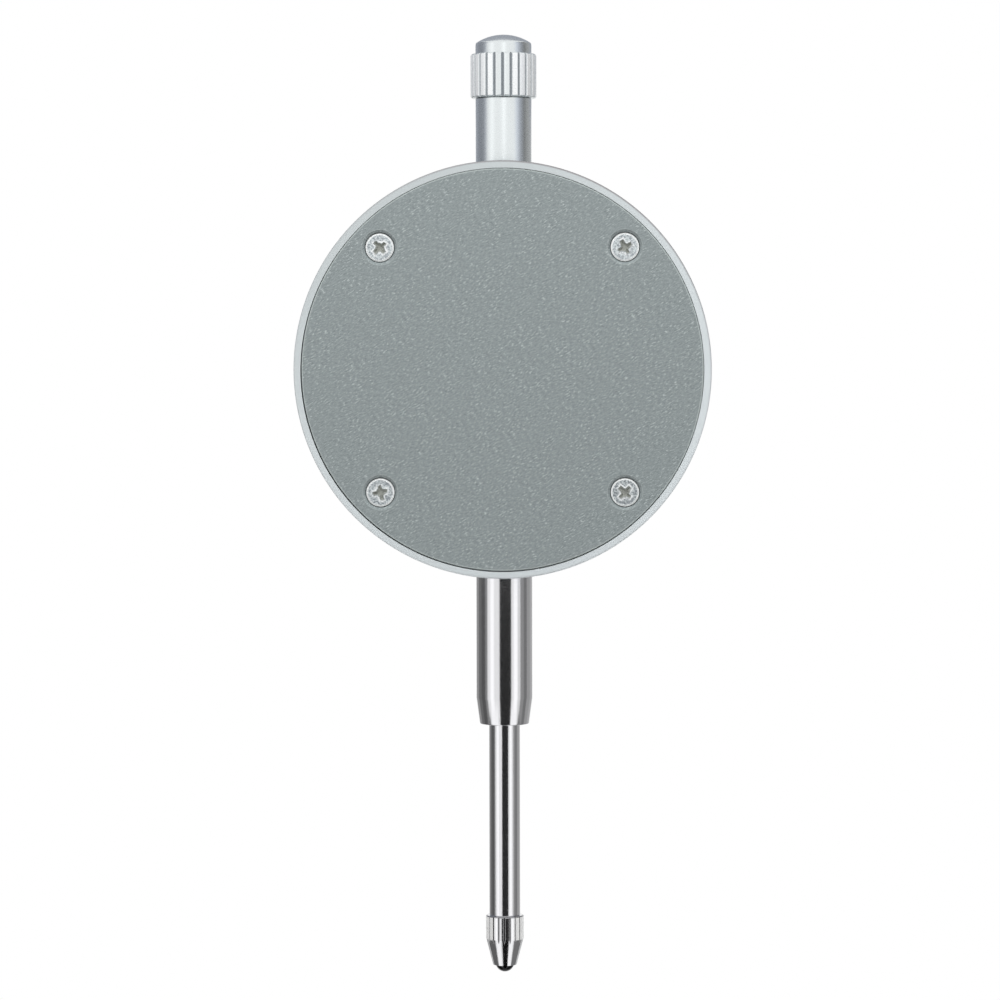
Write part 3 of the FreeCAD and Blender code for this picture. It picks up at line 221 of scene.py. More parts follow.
def skin(name, grid, sharp=35):
    """A closed mesh over a grid of points whose rows and columns both join end to end. Points that
    fall together are made one, and the faces point outwards, by the sign of the enclosed volume."""
    rows, columns = grid.shape[:2]
    number = np.arange(rows * columns).reshape(rows, columns)
    quads = np.stack([number, np.roll(number, -1, 1), np.roll(np.roll(number, -1, 0), -1, 1),
                      np.roll(number, -1, 0)], -1).reshape(-1, 4)
    points = grid.reshape(-1, 3)
    _, first, same = np.unique(np.round(points / 1e-8).astype(np.int64), axis=0,
                               return_index=True, return_inverse=True)
    quads = same.reshape(-1)[quads]
    points = points[first]
    a, b, c, d = points[quads].transpose(1, 0, 2)
    volume = (np.cross(a, b) * c).sum() + (np.cross(a, c) * d).sum()
    if volume < 0:
        quads = quads[:, ::-1]
    repeats = quads == np.roll(quads, 1, 1)
    whole = quads[repeats.sum(1) == 0]
    folded = repeats.sum(1) == 1
    corners = quads[folded][~repeats[folded]].reshape(-1, 3)
    mesh = bpy.data.meshes.new(name)
    mesh.from_pydata(points.tolist(), [], whole.tolist() + corners.tolist())
    mesh.shade_smooth()
    mesh.set_sharp_from_angle(angle=np.radians(sharp))
    piece = bpy.data.objects.new(name, mesh)
    bpy.context.scene.collection.objects.link(piece)
    return piece


def turned(name, profile, steps=256, limit=None, facing=None):
    """A profile of radius and height carried round Z, or round an axis along Y through the x and z of
    `facing`. Where a limit is given, the radius at an angle is no more than limit(angle, height)."""
    angle = np.linspace(0, 2 * np.pi, steps, endpoint=False)[None]
    radius, height = (profile[:, k][:, None] + 0 * angle for k in (0, 1))
    if limit is not None:
        radius = np.minimum(radius, limit(angle, height))
    across, along = radius * np.cos(angle), radius * np.sin(angle)
    if facing is None:
        return skin(name, np.stack([across, along, height], -1))
    return skin(name, np.stack([across + facing[0], height, along + facing[1]], -1))


def dress(piece, material, body, slot, *replaced):
    """Gives a finished piece its material and its body, and hides the nodes that it stands for. The slot is
    not used.
    """
    piece.data.materials.append(material)
    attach(piece, body)
    if replaced:
        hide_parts(*replaced)


def places(piece):
    """The places of a piece's points, a row for each."""
    flat = np.zeros(len(piece.data.vertices) * 3)
    piece.data.vertices.foreach_get("co", flat)
    return flat.reshape(-1, 3)


def mark(piece, name, values):
    """Keeps a number between 0 and 1 for each point of a piece, for its material to read."""
    piece.data.attributes.new(name, "FLOAT", "POINT").data.foreach_set("value", values)


def marked(material, name, share=1.0):
    """A piece's mark times a share."""
    reader = add(material, "ShaderNodeAttribute", attribute_name=name)
    return reckon(material, "MULTIPLY", reader.outputs["Fac"], share)


# The turned back edge of the side wall, whose light line has to run smoothly all round. Its
# outermost line is painted darker, as painted shade, most of all towards the top.
edge_round = 0.3 * mm
band_front = -6.5 * mm
band_inside = case_radius - 0.5 * mm
edge_profile = soften([
    (case_radius - edge_round, cad_low[1]), (case_radius, cad_low[1]), (case_radius, band_front),
    (band_inside, band_front), (band_inside, cad_low[1] + edge_round)],
    np.array([0, 1, 0, 0, 0]) * edge_round)
edge = turned("housing_edge_turned", edge_profile, 720, facing=case_centre)
line_width = 0.27 * mm
line_blur = 0.1 * mm
line_front = -8.0 * mm
line_middle = np.radians(70)
# The shade mark is painted shade on the outermost line, strongest round the top
x, y, z = places(edge).T - np.array([case_centre[0], 0, case_centre[1]])[:, None]
above = np.clip(np.cos(np.arctan2(z, x) - line_middle), 0, 1) ** 2
outermost = np.clip((np.hypot(x, z) - case_radius + line_width) / line_blur, 0, 1)
behind = np.clip((line_front - y) / (2 * line_blur), 0, 1)
mark(edge, "shade", outermost * behind * (0.15 + 0.85 * above))
painted_shade_edge, edge_painted_light = satin_plating("satin_plated_edge")
feed(painted_shade_edge, blend(painted_shade_edge, marked(painted_shade_edge, "shade"), edge_painted_light, seen(172, 170, 172)),
     "Base Color")
dress(edge, painted_shade_edge, "case", "case_metal")

# The plating is thicker on the recess's upper right edge, where it nearly closes the cover's gap.
# This lip's reach goes with the cosine of the angle from its middle, raised so that it ends below.
cover_gap = 0.16 * mm
recess_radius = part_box("back_cover")[1].x + cover_gap
lip_thickest = 0.11 * mm
lip_middle = np.radians(62)
lip_rise = 0.75
lip_back = 0.006 * mm
lip_front = 0.45 * mm
lip_angle = np.linspace(0, 2 * np.pi, 720, endpoint=False)[None]
lip_reach = lip_thickest * np.clip(np.cos(lip_angle - lip_middle) + lip_rise, 0, 1)
lip_root = recess_radius + 0.05 * mm + 0 * lip_angle
lip_face = recess_radius + 0.01 * mm - lip_reach
lip_radius = np.concatenate([lip_root, lip_root, lip_face, lip_face])
lip_depth = cad_low[1] + np.array([lip_front, lip_back, lip_back, lip_front])[:, None] + 0 * lip_angle
lip = skin("housing_lip_turned", np.stack([
    lip_radius * np.cos(lip_angle), lip_depth, lip_radius * np.sin(lip_angle) + case_centre[1]], -1))
dress(lip, plated, "case", "case_metal")

# Bearings and rest
# Two sintered bronze bushes pressed into the stem and the sleeve guide the spindle. A rubber washer
# lies on the stem's inner end for the bracket to rest on.


def tint(material, noise, dark, light, stops=(0.35, 0.65)):
    """Base colour between two colours, by where the noise lies between its stops."""
    ramp = add(material, "ShaderNodeValToRGB")
    for stop, place, colour in zip(ramp.color_ramp.elements, stops, (dark, light)):
        stop.position = place
        stop.color = (*colour, 1)
    join(material, noise, "Fac", ramp, "Fac")
    feed(material, ramp.outputs["Color"], "Base Color")
    return ramp.outputs["Color"]


bronze = finish("sintered_bronze", seen(176, 132, 82), 0.42, Metallic=1.0)
tint(bronze, grain(bronze, 0.15 * mm), seen(140, 100, 60), seen(192, 150, 98))
clad(bronze, "stem_bush", "sleeve_bush")

rubber = finish("black_rubber", seen(30, 30, 31), 0.7)
rubber_cloud = grain(rubber, 0.4 * mm)
tint(rubber, rubber_cloud, seen(24, 24, 25), seen(38, 38, 40))
relief(rubber, rubber_cloud, 0.01 * mm)
clad(rubber, "lower_bumper")

# Bracket and guide
# The brass block clamped on the spindle, its fork on a ground rod that lies in two saddles, and the
# spring that pushes the spindle out. The strip glued to the bracket carries the pattern that is read.

brass_colour = seen(200, 168, 104)
brass = finish("machined_brass", brass_colour, 0.3, Metallic=1.0)
brass_cloud = grain(brass, 0.3 * mm, (6, 1, 1))
tint(brass, brass_cloud, *(tuple(c * share for c in brass_colour) for share in (0.92, 1.08)))
wear(brass, brass_cloud, 0.24, 0.36)
clad(brass, "scale_bracket")

steel_colour = seen(224, 224, 226)
ground = finish("ground_steel", steel_colour, 0.13, Metallic=1.0)
ground_lines = grain(ground, 0.05 * mm, (40, 40, 1), 4)
wear(ground, ground_lines, 0.10, 0.17)
relief(ground, ground_lines, 0.0006 * mm)
clad(ground, "guide_rod")

# The spring's wire climbs by no more than its own thickness in the first and the last turn, and
# evenly in between. It tapers to nothing at its two cut ends.
wire = finish("spring_wire", seen(168, 170, 172), 0.28, Metallic=1.0)
wear(wire, grain(wire, 0.2 * mm), 0.22, 0.36)
wire_radius = 0.175 * mm
coil_radius = 2.85 * mm
coil_turns = 9
spring_low, spring_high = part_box("return_spring")
along = np.linspace(0, 1, coil_turns * 64)[:, None]
climb = np.interp(along, [0, 1 / coil_turns, 1 - 1 / coil_turns, 1],
                  [spring_low.z + wire_radius, spring_low.z + 3 * wire_radius,
                   spring_high.z - 3 * wire_radius, spring_high.z - wire_radius])
wire_turn = np.linspace(0, 2 * np.pi, 16, endpoint=False)[None]
thick = wire_radius * ((along > 0) & (along < 1))
coil = coil_radius + thick * np.cos(wire_turn)
coil_turn = 2 * np.pi * coil_turns * along
spring = skin("return_spring_coiled", np.stack([
    coil * np.cos(coil_turn), coil * np.sin(coil_turn), climb + thick * np.sin(wire_turn)], -1), sharp=60)
dress(spring, wire, "case", "spring_steel", "return_spring")
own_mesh(spring)

zinc = finish("zinc_plated_steel", seen(196, 199, 204), 0.3, Metallic=1.0)
zinc_cloud = grain(zinc, 0.25 * mm)
tint(zinc, zinc_cloud, seen(176, 178, 184), seen(212, 214, 220))
wear(zinc, zinc_cloud, 0.22, 0.4)
clad(zinc, "bracket_clamp_screw", "guide_rod_screws")


def bands(material, size):
    """Bands across Z that follow the sine of 20 z over the size, so each is 0.314 sizes wide."""
    place = add(material, "ShaderNodeTexCoord")
    wave = add(material, "ShaderNodeTexWave", wave_type="BANDS", bands_direction="Z", Scale=1 / size)
    join(material, place, "Object", wave, "Vector")
    return wave


strip = finish("scale_strip", seen(214, 208, 178), 0.45)
tint(strip, bands(strip, 6.4 * mm), seen(150, 112, 46), seen(222, 216, 190), (0.48, 0.52))
clad(strip, "grid_scale")

# Stem
# The ground steel clamping stem: 8 mm across, tapered at its free end, with a spigot pressed into the
# housing's boss. It is turned, so it is a profile carried round the axis.

stem_low, stem_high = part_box("stem")
bush_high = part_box("stem_bush")[1]
stem_radius = stem_high.x
stem_end_radius = 3.5 * mm
spigot_radius = 3.5 * mm
clamp_half = 8.9 * mm
spindle_bore = 2.5 * mm
bush_bore = bush_high.x
stem_rounds = np.array([0.1, 0.16, 0.12, 0.1, 0.05, 0.15, 0.1, 0.05, 0.05]) * mm
stem_profile = soften([
    (bush_bore, stem_low.z), (stem_end_radius, stem_low.z), (stem_radius, -clamp_half),
    (stem_radius, clamp_half), (spigot_radius, clamp_half), (spigot_radius, stem_high.z),
    (spindle_bore, stem_high.z), (spindle_bore, bush_high.z), (bush_bore, bush_high.z)], stem_rounds)
stem = turned("stem_turned", stem_profile)
dress(stem, ground, "case", "ground_steel", "stem")

# Spindle and contact point
# The ground spindle slides in the two bushes. Its screwed-in point has a fluted collar for the
# fingers and a short cone that holds a dark hard ball.

spindle_low, spindle_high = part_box("spindle")
spindle_radius = spindle_high.x
stud_bore = 1.23 * mm
stud_bore_top = spindle_low.z + 5.25 * mm
spindle_chamfer = 0.3 * mm
spindle_profile = soften([
    (stud_bore, spindle_low.z), (spindle_radius, spindle_low.z),
    (spindle_radius, spindle_high.z - spindle_chamfer), (spindle_radius - spindle_chamfer, spindle_high.z),
    (0, spindle_high.z), (0, stud_bore_top), (stud_bore, stud_bore_top)],
    np.array([0.05, 0.15, 0.1, 0.1, 0, 0, 0]) * mm)
spindle = turned("spindle_turned", spindle_profile)
dress(spindle, ground, "spindle", "ground_steel", "spindle")


def fluted(radius, count, depth, width, start=0.0):
    """The limit that V flutes set: the radius less the depth where the way round from the nearest
    flute is 0, rising evenly to the full radius at half the width. Below `start` nothing is cut."""
    def limit(angle, height):
        pitch = 2 * np.pi / count
        way = np.abs((angle + pitch / 2) % pitch - pitch / 2) * radius
        cut = radius - depth * np.clip(1 - 2 * way / width, 0, 1)
        return np.where(height < start, 1.0, np.where(way * 2 < width, cut, 1.0))
    return limit


# The depth of a flute that is marked in full, how near the surface a marked point lies, how far in
# the chamfer reaches, and the share of the radius over which the painted highlight on the lands fades
full_depth = 0.1 * mm
skin_depth = 0.02 * mm
chamfer_reach = 0.17 * mm
highlight_blur = 0.2


def mark_flutes(piece, radius, limit, low, high, beside, edge):
    """Marks how deep the points of a fluted piece lie in its flutes, as a share of the depth that
    counts as full, between two heights, with the chamfer above the height `edge` as deep as any; this
    mark sets the painted shade in the flutes. A second mark is a painted highlight on the lands towards
    the sides along x, from a share of the radius beside the axis."""
    x, y, z = places(piece).T
    cut = np.minimum(limit(np.arctan2(y, x), z), radius)
    depth = np.clip((radius - cut) / full_depth, 0, 1)
    reach = np.hypot(x, y)
    lies = (reach > cut - skin_depth) & (z > low) & (z < high)
    chamfer = (z > edge) & (z < high + skin_depth / 2) & (reach > radius - chamfer_reach)
    mark(piece, "flute", np.maximum(depth * lies, chamfer))
    painted_highlight = np.clip((np.abs(x) / radius - beside) / highlight_blur, 0, 1)
    mark(piece, "land", (1 - depth) * lies * ~chamfer * painted_highlight)


def fluted_metal(name, colour, roughness, dark, pale):
    """A metal with painted shade in its flutes and painted highlights on its lands, and less of a
    mirror in both. Each of the two is a share, a colour and what it takes off Metallic."""
    material = finish(name, colour, roughness, Metallic=1.0)
    flute_shaded = blend(material, marked(material, "flute", dark[0]), colour, dark[1])
    feed(material, blend(material, marked(material, "land", pale[0]), flute_shaded, pale[1]), "Base Color")
    lost = reckon(material, "ADD", marked(material, "flute", dark[2]), marked(material, "land", pale[2]))
    feed(material, reckon(material, "SUBTRACT", 1.0, lost), "Metallic")
    return material


point_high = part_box("contact_point")[1]
ball_low, ball_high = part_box("contact_ball")
ball_radius = ball_high.x
ball_middle = ball_low.z + ball_radius
collar_radius = point_high.x
collar_length = 3.3 * mm
cone_length = 3.8 * mm
cone_end_radius = 1.7 * mm
collar_chamfer = 0.15 * mm
stud_radius = 1.2 * mm
collar_top = spindle_low.z
cone_top = collar_top - collar_length
cone_end = cone_top - cone_length
mouth_angle = np.arccos((cone_end - ball_middle) / ball_radius)
seat_angle = np.linspace(0, mouth_angle, 24)
seat = np.stack([np.sin(seat_angle), np.cos(seat_angle)], 1) * ball_radius + (0, ball_middle)
cone = np.stack([np.linspace(cone_end_radius, collar_radius, 40), np.linspace(cone_end, cone_top, 40)], 1)
# Each softened corner is six points, and the first and the last corner are left out
collar = soften([
    (cone_end_radius, cone_end), (collar_radius, cone_top), (collar_radius, collar_top - collar_chamfer),
    (collar_radius - collar_chamfer, collar_top), (stud_radius, collar_top)], 0.06 * mm)[6:24]
point_profile = np.concatenate([
    [(0, point_high.z)], seat, cone[:-1], collar, [(stud_radius, collar_top), (stud_radius, point_high.z)]])
point_flute_count = 20
point_flute_low = cone_top - cone_length / 2
point_flutes = fluted(collar_radius, point_flute_count, 0.14 * mm, 0.26 * mm, point_flute_low)
point = turned("contact_point_turned", point_profile, point_flute_count * 48, point_flutes)
mark_flutes(point, collar_radius, point_flutes, point_flute_low, collar_top, 0.45,
            collar_top - collar_chamfer)
# Painted shade in the point's flutes and painted highlights on its lands at the sides
point_steel = fluted_metal("fluted_steel", steel_colour, 0.13, (0.6, seen(90, 90, 91), 0.0),
                           (0.95, seen(252, 252, 251), 0.9))
wear(point_steel, grain(point_steel, 0.05 * mm, (40, 40, 1), 4), 0.10, 0.17)
dress(point, point_steel, "spindle", "ground_steel", "contact_point")

ball_turn = np.linspace(0, np.pi, 65)
ball_profile = np.stack([np.sin(ball_turn) * ball_radius, ball_middle - np.cos(ball_turn) * ball_radius], 1)
ball_profile[[0, -1], 0] = 0
carbide = finish("dark_carbide", seen(40, 40, 42), 0.12, Metallic=1.0)
wear(carbide, grain(carbide, 0.1 * mm), 0.08, 0.18)
ball = turned("contact_ball_ground", ball_profile, 128)
dress(ball, carbide, "spindle", "hard_ball", "contact_ball")

# Sleeve and dust cap
# The satin anodised sleeve stands on top of the case with a neck for the cap. The cap screws on with
# its fluted grip, and the spindle rises into it under the dome.

satin_colour = seen(227, 232, 233)
satin = finish("satin_anodised", satin_colour, 0.28, Metallic=1.0)
satin_cloud = grain(satin, 0.08 * mm, (3, 3, 1), 4)
wear(satin, satin_cloud, 0.26, 0.30)
relief(satin, satin_cloud, 0.0002 * mm)
sleeve_low, sleeve_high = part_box("upper_sleeve")
cap_low, cap_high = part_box("dust_cap")
sleeve_bush_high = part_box("sleeve_bush")[1]
sleeve_radius = sleeve_high.x
sleeve_foot = 66.6 * mm
neck_radius = 3.1 * mm
neck_low = sleeve_high.z - 4.2 * mm
sleeve = turned("sleeve_turned", soften([
    (bush_bore, sleeve_low.z), (spigot_radius, sleeve_low.z), (spigot_radius, sleeve_foot),
    (sleeve_radius, sleeve_foot), (sleeve_radius, neck_low), (neck_radius, neck_low),
    (neck_radius, sleeve_high.z), (spindle_bore, sleeve_high.z), (spindle_bore, sleeve_bush_high.z),
    (bush_bore, sleeve_bush_high.z)], 0.1 * mm))
dress(sleeve, satin, "case", "satin_aluminium", "upper_sleeve")

grip_radius = cap_high.x
grip_top = cap_low.z + 6.2 * mm
grip_chamfer = 0.2 * mm
dome_height = 1.22 * mm
dome_foot = cap_high.z - dome_height
shoulder_round = 0.35 * mm
dome_radius = (sleeve_radius**2 + dome_height**2) / (2 * dome_height)
dome_width = np.linspace(sleeve_radius - shoulder_round, 0, 40)
dome = np.stack([dome_width, cap_high.z - dome_radius + np.sqrt(dome_radius**2 - dome_width**2)], 1)
# Only the middle one of these three corners is kept, as six points
shoulder = soften([(sleeve_radius, grip_top), (sleeve_radius, dome_foot), tuple(dome[0])],
                  shoulder_round)[6:12]
seal_room = 3.76 * mm
seal_top = cap_low.z + 0.61 * mm
thread_radius = 3.15 * mm
thread_top = sleeve_high.z + 0.3 * mm
hollow_top = cap_high.z - 1.4 * mm
cap_grip = soften([
    (seal_room, cap_low.z), (grip_radius - grip_chamfer, cap_low.z), (grip_radius, cap_low.z + grip_chamfer),
    (grip_radius, grip_top - grip_chamfer), (grip_radius - grip_chamfer, grip_top),
    (sleeve_radius, grip_top)], np.array([0.05, 0.05, 0.06, 0.06, 0.05, 0.03]) * mm)
cap_inside = [(0, hollow_top), (spindle_bore, hollow_top), (spindle_bore, thread_top),
              (thread_radius, thread_top), (thread_radius, seal_top), (seal_room, seal_top)]
cap_profile = np.concatenate([cap_grip, shoulder, dome, cap_inside])
cap_flute_count = 24
flute_top = grip_top + shoulder_round / 9
cap_flutes = fluted(grip_radius, cap_flute_count, 0.3 * mm, 0.48 * mm)


def grip_limit(angle, height):
    """The limit that the flutes set up to the top of the grip, with nothing cut above it."""
    return np.where(height > flute_top, 1.0, cap_flutes(angle, height))


cap = turned("dust_cap_turned", cap_profile, cap_flute_count * 32, grip_limit)
mark_flutes(cap, grip_radius, cap_flutes, cap_low.z, grip_top, 0.15, grip_top)
# Painted shade in the cap's flutes and painted highlights on its lands at the sides
cap_satin = fluted_metal("fluted_anodised", satin_colour, 0.28, (0.6, seen(140, 145, 152), 0.35),
                         (0.95, seen(250, 252, 253), 0.75))
wear(cap_satin, grain(cap_satin, 0.08 * mm, (3, 3, 1), 4), 0.25, 0.31)
dress(cap, cap_satin, "dust_cap", "satin_aluminium", "dust_cap")
clad(rubber, "dust_cap_seal")

# Main board and display module
# The green board is screwed to four posts. The glass is pressed on it through two rubber strips by a
# moulded frame, and its three switches, battery contacts and port socket are soldered on.

board = finish("green_board", seen(34, 92, 56), 0.4)
tint(board, grain(board, 1.2 * mm), seen(28, 80, 48), seen(42, 104, 64))
clad(board, "main_board")
clad(zinc, "board_screws", "clock_crystal")

resin = finish("black_resin", seen(26, 26, 28), 0.35)
wear(resin, grain(resin, 0.3 * mm), 0.28, 0.45)
clad(resin, "controller_chip")

silicone = finish("layered_silicone", seen(206, 204, 200), 0.6)
tint(silicone, bands(silicone, 3.2 * mm), seen(60, 60, 62), seen(216, 214, 208), (0.4, 0.6))
clad(silicone, "lcd_contact_strips")

moulded = finish("black_moulding", seen(40, 41, 43), 0.5)
moulded_cloud = grain(moulded, 0.12 * mm)
tint(moulded, moulded_cloud, seen(35, 36, 38), seen(46, 47, 50))
relief(moulded, moulded_cloud, 0.006 * mm)
clad(moulded, "lcd_frame", "button_switches", "port_socket")

gold = finish("gold_plating", seen(222, 190, 110), 0.25, Metallic=1.0)
wear(gold, grain(gold, 0.3 * mm), 0.2, 0.34)
clad(gold, "battery_leaf", "battery_side_contact", "port_pins")

lcd = finish("liquid_crystal_glass", seen(176, 186, 172), 0.22)
tint(lcd, grain(lcd, 6 * mm), seen(172, 182, 168), seen(180, 190, 176))
clad(lcd, "lcd_glass")

# Digits of the display
# The dark segments that the glass shows, a reading of zero with its unit, as flat pieces on the
# front pane. Each bar is a long hexagon, and each digit leans a little.

lcd_low, lcd_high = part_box("lcd_glass")
digit_height = 7.6 * mm
digit_width = 3.9 * mm
digit_pitch = 5.3 * mm
bar_width = 0.72 * mm
bar_gap = 0.12 * mm
lean = 0.08
digit_middle = (lcd_low.z + lcd_high.z) / 2
ink_back = lcd_high.y + 0.01 * mm
ink_front = lcd_high.y + 0.05 * mm


def slab(outline, back, front):
    """The closed prism over an outline of x and z, as a grid: its back's middle, its back's edge, its
    front's edge and its front's middle, each row once round."""
    outline = np.asarray(outline, float)
    middle = np.repeat(outline.mean(0)[None], len(outline), 0)
    rows = [(middle, back), (outline, back), (outline, front), (middle, front)]
    return np.stack([np.stack([p[:, 0], np.full(len(p), y), p[:, 1]], -1) for p, y in rows])


def bar(start, end):
    """A bar of a digit: a hexagon round the line from start to end, short of both by the gap."""
    start, end = np.array(start, float), np.array(end, float)
    along = (end - start) / np.linalg.norm(end - start)
    side = np.array([-along[1], along[0]]) * bar_width / 2
    nose = along * bar_width / 2
    start, end = start + along * bar_gap, end - along * bar_gap
    return np.array([start, start + nose + side, end - nose + side, end, end - nose - side,
                     start + nose - side])


# The ends of a nought's six bars, as shares of its width and height, clockwise from the top
nought = [((0, 1), (1, 1)), ((1, 1), (1, 0.5)), ((1, 0.5), (1, 0)),
          ((1, 0), (0, 0)), ((0, 0), (0, 0.5)), ((0, 0.5), (0, 1))]


def read_from_front(flat):
    """Turns places counted from the left and upwards into x and z for someone who looks along -Y."""
    flat = np.asarray(flat, float)
    return np.stack([-(flat[:, 0] + lean * flat[:, 1]), digit_middle + flat[:, 1]], -1)


digit_size = np.array([digit_width - bar_width, digit_height - bar_width])
digit_foot = -digit_size[1] / 2
first_left = -0.9 * digit_pitch
dot_radius = 0.62 * bar_width
dot_place = first_left + digit_pitch - 1.05 * mm
shapes = []
for number in range(3):
    corner = np.array([first_left + digit_pitch * number, digit_foot])
    shapes += [bar(corner + start * digit_size, corner + end * digit_size) for start, end in nought]
dot_turn = np.linspace(0, 2 * np.pi, 16, endpoint=False)
dot = np.stack([np.cos(dot_turn), np.sin(dot_turn)], 1) * dot_radius
shapes.append(dot + (dot_place, digit_foot))
inked = finish("display_ink", seen(20, 24, 22), 0.5)
tint(inked, grain(inked, 2 * mm), seen(17, 21, 19), seen(23, 27, 25))
bars = [skin(f"bar_{number}", slab(read_from_front(shape), ink_back, ink_front))
        for number, shape in enumerate(shapes)]


def lettering(text, height, x, z, back, thick):
    """Plain letters as a thin closed mesh that is read from the front, centred on x and z."""
    curve = bpy.data.curves.new(text, "FONT")
    curve.body = text
    curve.size = height
    curve.align_x = "CENTER"
    curve.extrude = thick / 2
    curve.resolution_u = 6
    maker = bpy.data.objects.new(text, curve)
    bpy.context.scene.collection.objects.link(maker)
    bpy.context.view_layer.update()
    mesh = bpy.data.meshes.new_from_object(maker.evaluated_get(bpy.context.evaluated_depsgraph_get()))
    bpy.data.objects.remove(maker)
    points = np.zeros(len(mesh.vertices) * 3)
    mesh.vertices.foreach_get("co", points)
    points = points.reshape(-1, 3)
    places = np.stack([x - points[:, 0], back + thick / 2 + points[:, 2], z + points[:, 1]], -1)
    mesh.vertices.foreach_set("co", places.ravel())
    mesh.update()
    piece = bpy.data.objects.new(text, mesh)
    bpy.context.scene.collection.objects.link(piece)
    return piece


def merge(name, pieces):
    """Joins meshes into one object under a name."""
    bpy.ops.object.select_all(action="DESELECT")
    for piece in pieces:
        piece.select_set(True)
    bpy.context.view_layer.objects.active = pieces[0]
    bpy.ops.object.join()
    pieces[0].name = name
    return pieces[0]


unit_height = 3.2 * mm
unit_place = -11.9 * mm
unit = lettering("mm", unit_height, unit_place, digit_middle + digit_foot, ink_back, ink_front - ink_back)
digits = merge("display_digits", bars + [unit])
dress(digits, inked, "case", "lcd_glass")

# Back cover
# The flat cover is painted grey-green with a fine wrinkled texture, and drops into the housing's rim
# on a thin gasket. Four dimples take the screws' heads.


def ring(material, off, low, high, blur):
    """1 where the distance from a centre lies between low and high, and 0 further off than the blur.
    There is a centre in each of the four corners, as far to the side of the cover's middle as above
    or below it."""
    place = add(material, "ShaderNodeTexCoord")
    parts = add(material, "ShaderNodeSeparateXYZ")
    join(material, place, "Object", parts, "Vector")
    up = reckon(material, "SUBTRACT", parts.outputs["Z"], case_centre[1])
    sides = [reckon(material, "SUBTRACT", reckon(material, "ABSOLUTE", value, 0.0), off)
             for value in (parts.outputs["X"], up)]
    squares = [reckon(material, "MULTIPLY", value, value) for value in sides]
    distance = reckon(material, "SQRT", reckon(material, "ADD", *squares), 0.0)
    inner = span(material, distance, low - blur, low)
    outer = span(material, distance, high, high + blur, 1.0, 0.0)
    return reckon(material, "MULTIPLY", inner, outer)


# The wrinkles all lean one way, with darker and paler specks in patches: the paler specks are painted
# highlights on the wrinkles and the darker ones painted shade beneath them. The cover's edge and the
# dimples' edges have paler painted highlights, and painted shade lies round the screws' heads.
paint = finish("wrinkle_paint", seen(146, 155, 156), 0.46)
stroke_tilt = -32
wrinkle = grain(paint, 0.16 * mm, (3.0, 1, 1), 2, stroke_tilt)
mottle = tint(paint, wrinkle, seen(139, 148, 149), seen(152, 161, 162), (0.38, 0.62))
speck = grain(paint, 0.17 * mm, (3.2, 1, 1), 1, stroke_tilt)
patch = span(paint, grain(paint, 2.2 * mm).outputs["Fac"], 0.42, 0.58, 0.35, 0.8)
# Painted shade under the wrinkles, then painted highlights on them
shade = reckon(paint, "MULTIPLY", span(paint, speck.outputs["Fac"], 0.41, 0.34), patch)
stroke_shaded = blend(paint, shade, mottle, seen(126, 135, 136))
stroke_highlight = reckon(paint, "MULTIPLY", span(paint, speck.outputs["Fac"], 0.60, 0.67), patch)
stroke_highlighted = blend(paint, stroke_highlight, stroke_shaded, seen(197, 206, 205))
# Painted highlights: a paler ring on the cover's rounded edge and on each dimple's edge
cover_edge = ring(paint, 0.0, 27.95 * mm, 28.2 * mm, 0.08 * mm)
edge_highlighted = blend(paint, reckon(paint, "MULTIPLY", cover_edge, 0.6), stroke_highlighted, seen(196, 205, 203))
dimple_off = 17.1 * mm
dimple_edge = ring(paint, dimple_off, 2.45 * mm, 2.52 * mm, 0.05 * mm)
dimple_highlighted = blend(paint, reckon(paint, "MULTIPLY", dimple_edge, 0.28), edge_highlighted, seen(186, 195, 193))
# Painted shade: a dark ring round each screw's head, in its dimple
dimple_shade = ring(paint, dimple_off, 1.9 * mm, 2.08 * mm, 0.12 * mm)
feed(paint, blend(paint, reckon(paint, "MULTIPLY", dimple_shade, 0.7), dimple_highlighted, seen(96, 104, 105)), "Base Color")
relief(paint, wrinkle, 0.07 * mm)
clad(paint, "back_cover")
clad(rubber, "back_cover_gasket")

# Back cover screws
# Four plated pan head screws with a cross recess, each stopped at its own angle. The struck head is
# grainy, its edge and the burrs round the recess have painted highlights, and the recess painted shade.

screws_low, screws_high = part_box("back_cover_screws")
head_radius = 1.975 * mm
head_height = 0.78 * mm
head_edge = 0.2 * mm
shank_radius = 1.0 * mm
arm_reach = 1.05 * mm
arm_half = 0.34 * mm
arm_taper = 0.12
core_radius = 0.62 * mm
recess_depth = 0.34 * mm
recess_slope = 1.1
recess_blur = 0.08 * mm
fine_radius = 1.35 * mm
wave_height = 0.05 * mm
burr_height = 0.03 * mm
burr_width = 0.09 * mm
halo_width = 0.12 * mm
rim_start = 1.71 * mm
rim_blur = 0.05 * mm
screw_spread = screws_high.x - head_radius
head_top = screws_low.y
shank_end = screws_high.y


def inside_cross(x, z):
    """How far a point lies inside the recess's outline: the largest of its depths in the two bars,
    which narrow towards their ends, and in the round core."""
    bars = [np.minimum(arm_reach - np.abs(p), arm_half - np.abs(q) - arm_taper * (np.abs(p) - arm_half))
            for p, q in ((x, z), (z, x))]
    return np.maximum(np.maximum(*bars), core_radius - np.hypot(x, z))


def ragged(x, z, start):
    """Small waves that make the recess's outline uneven, three and seven to the turn, other ones for
    each starting angle."""
    turn = np.arctan2(z, x)
    return wave_height * (np.sin(3 * turn + start) + 0.7 * np.sin(7 * turn + 2 * start))


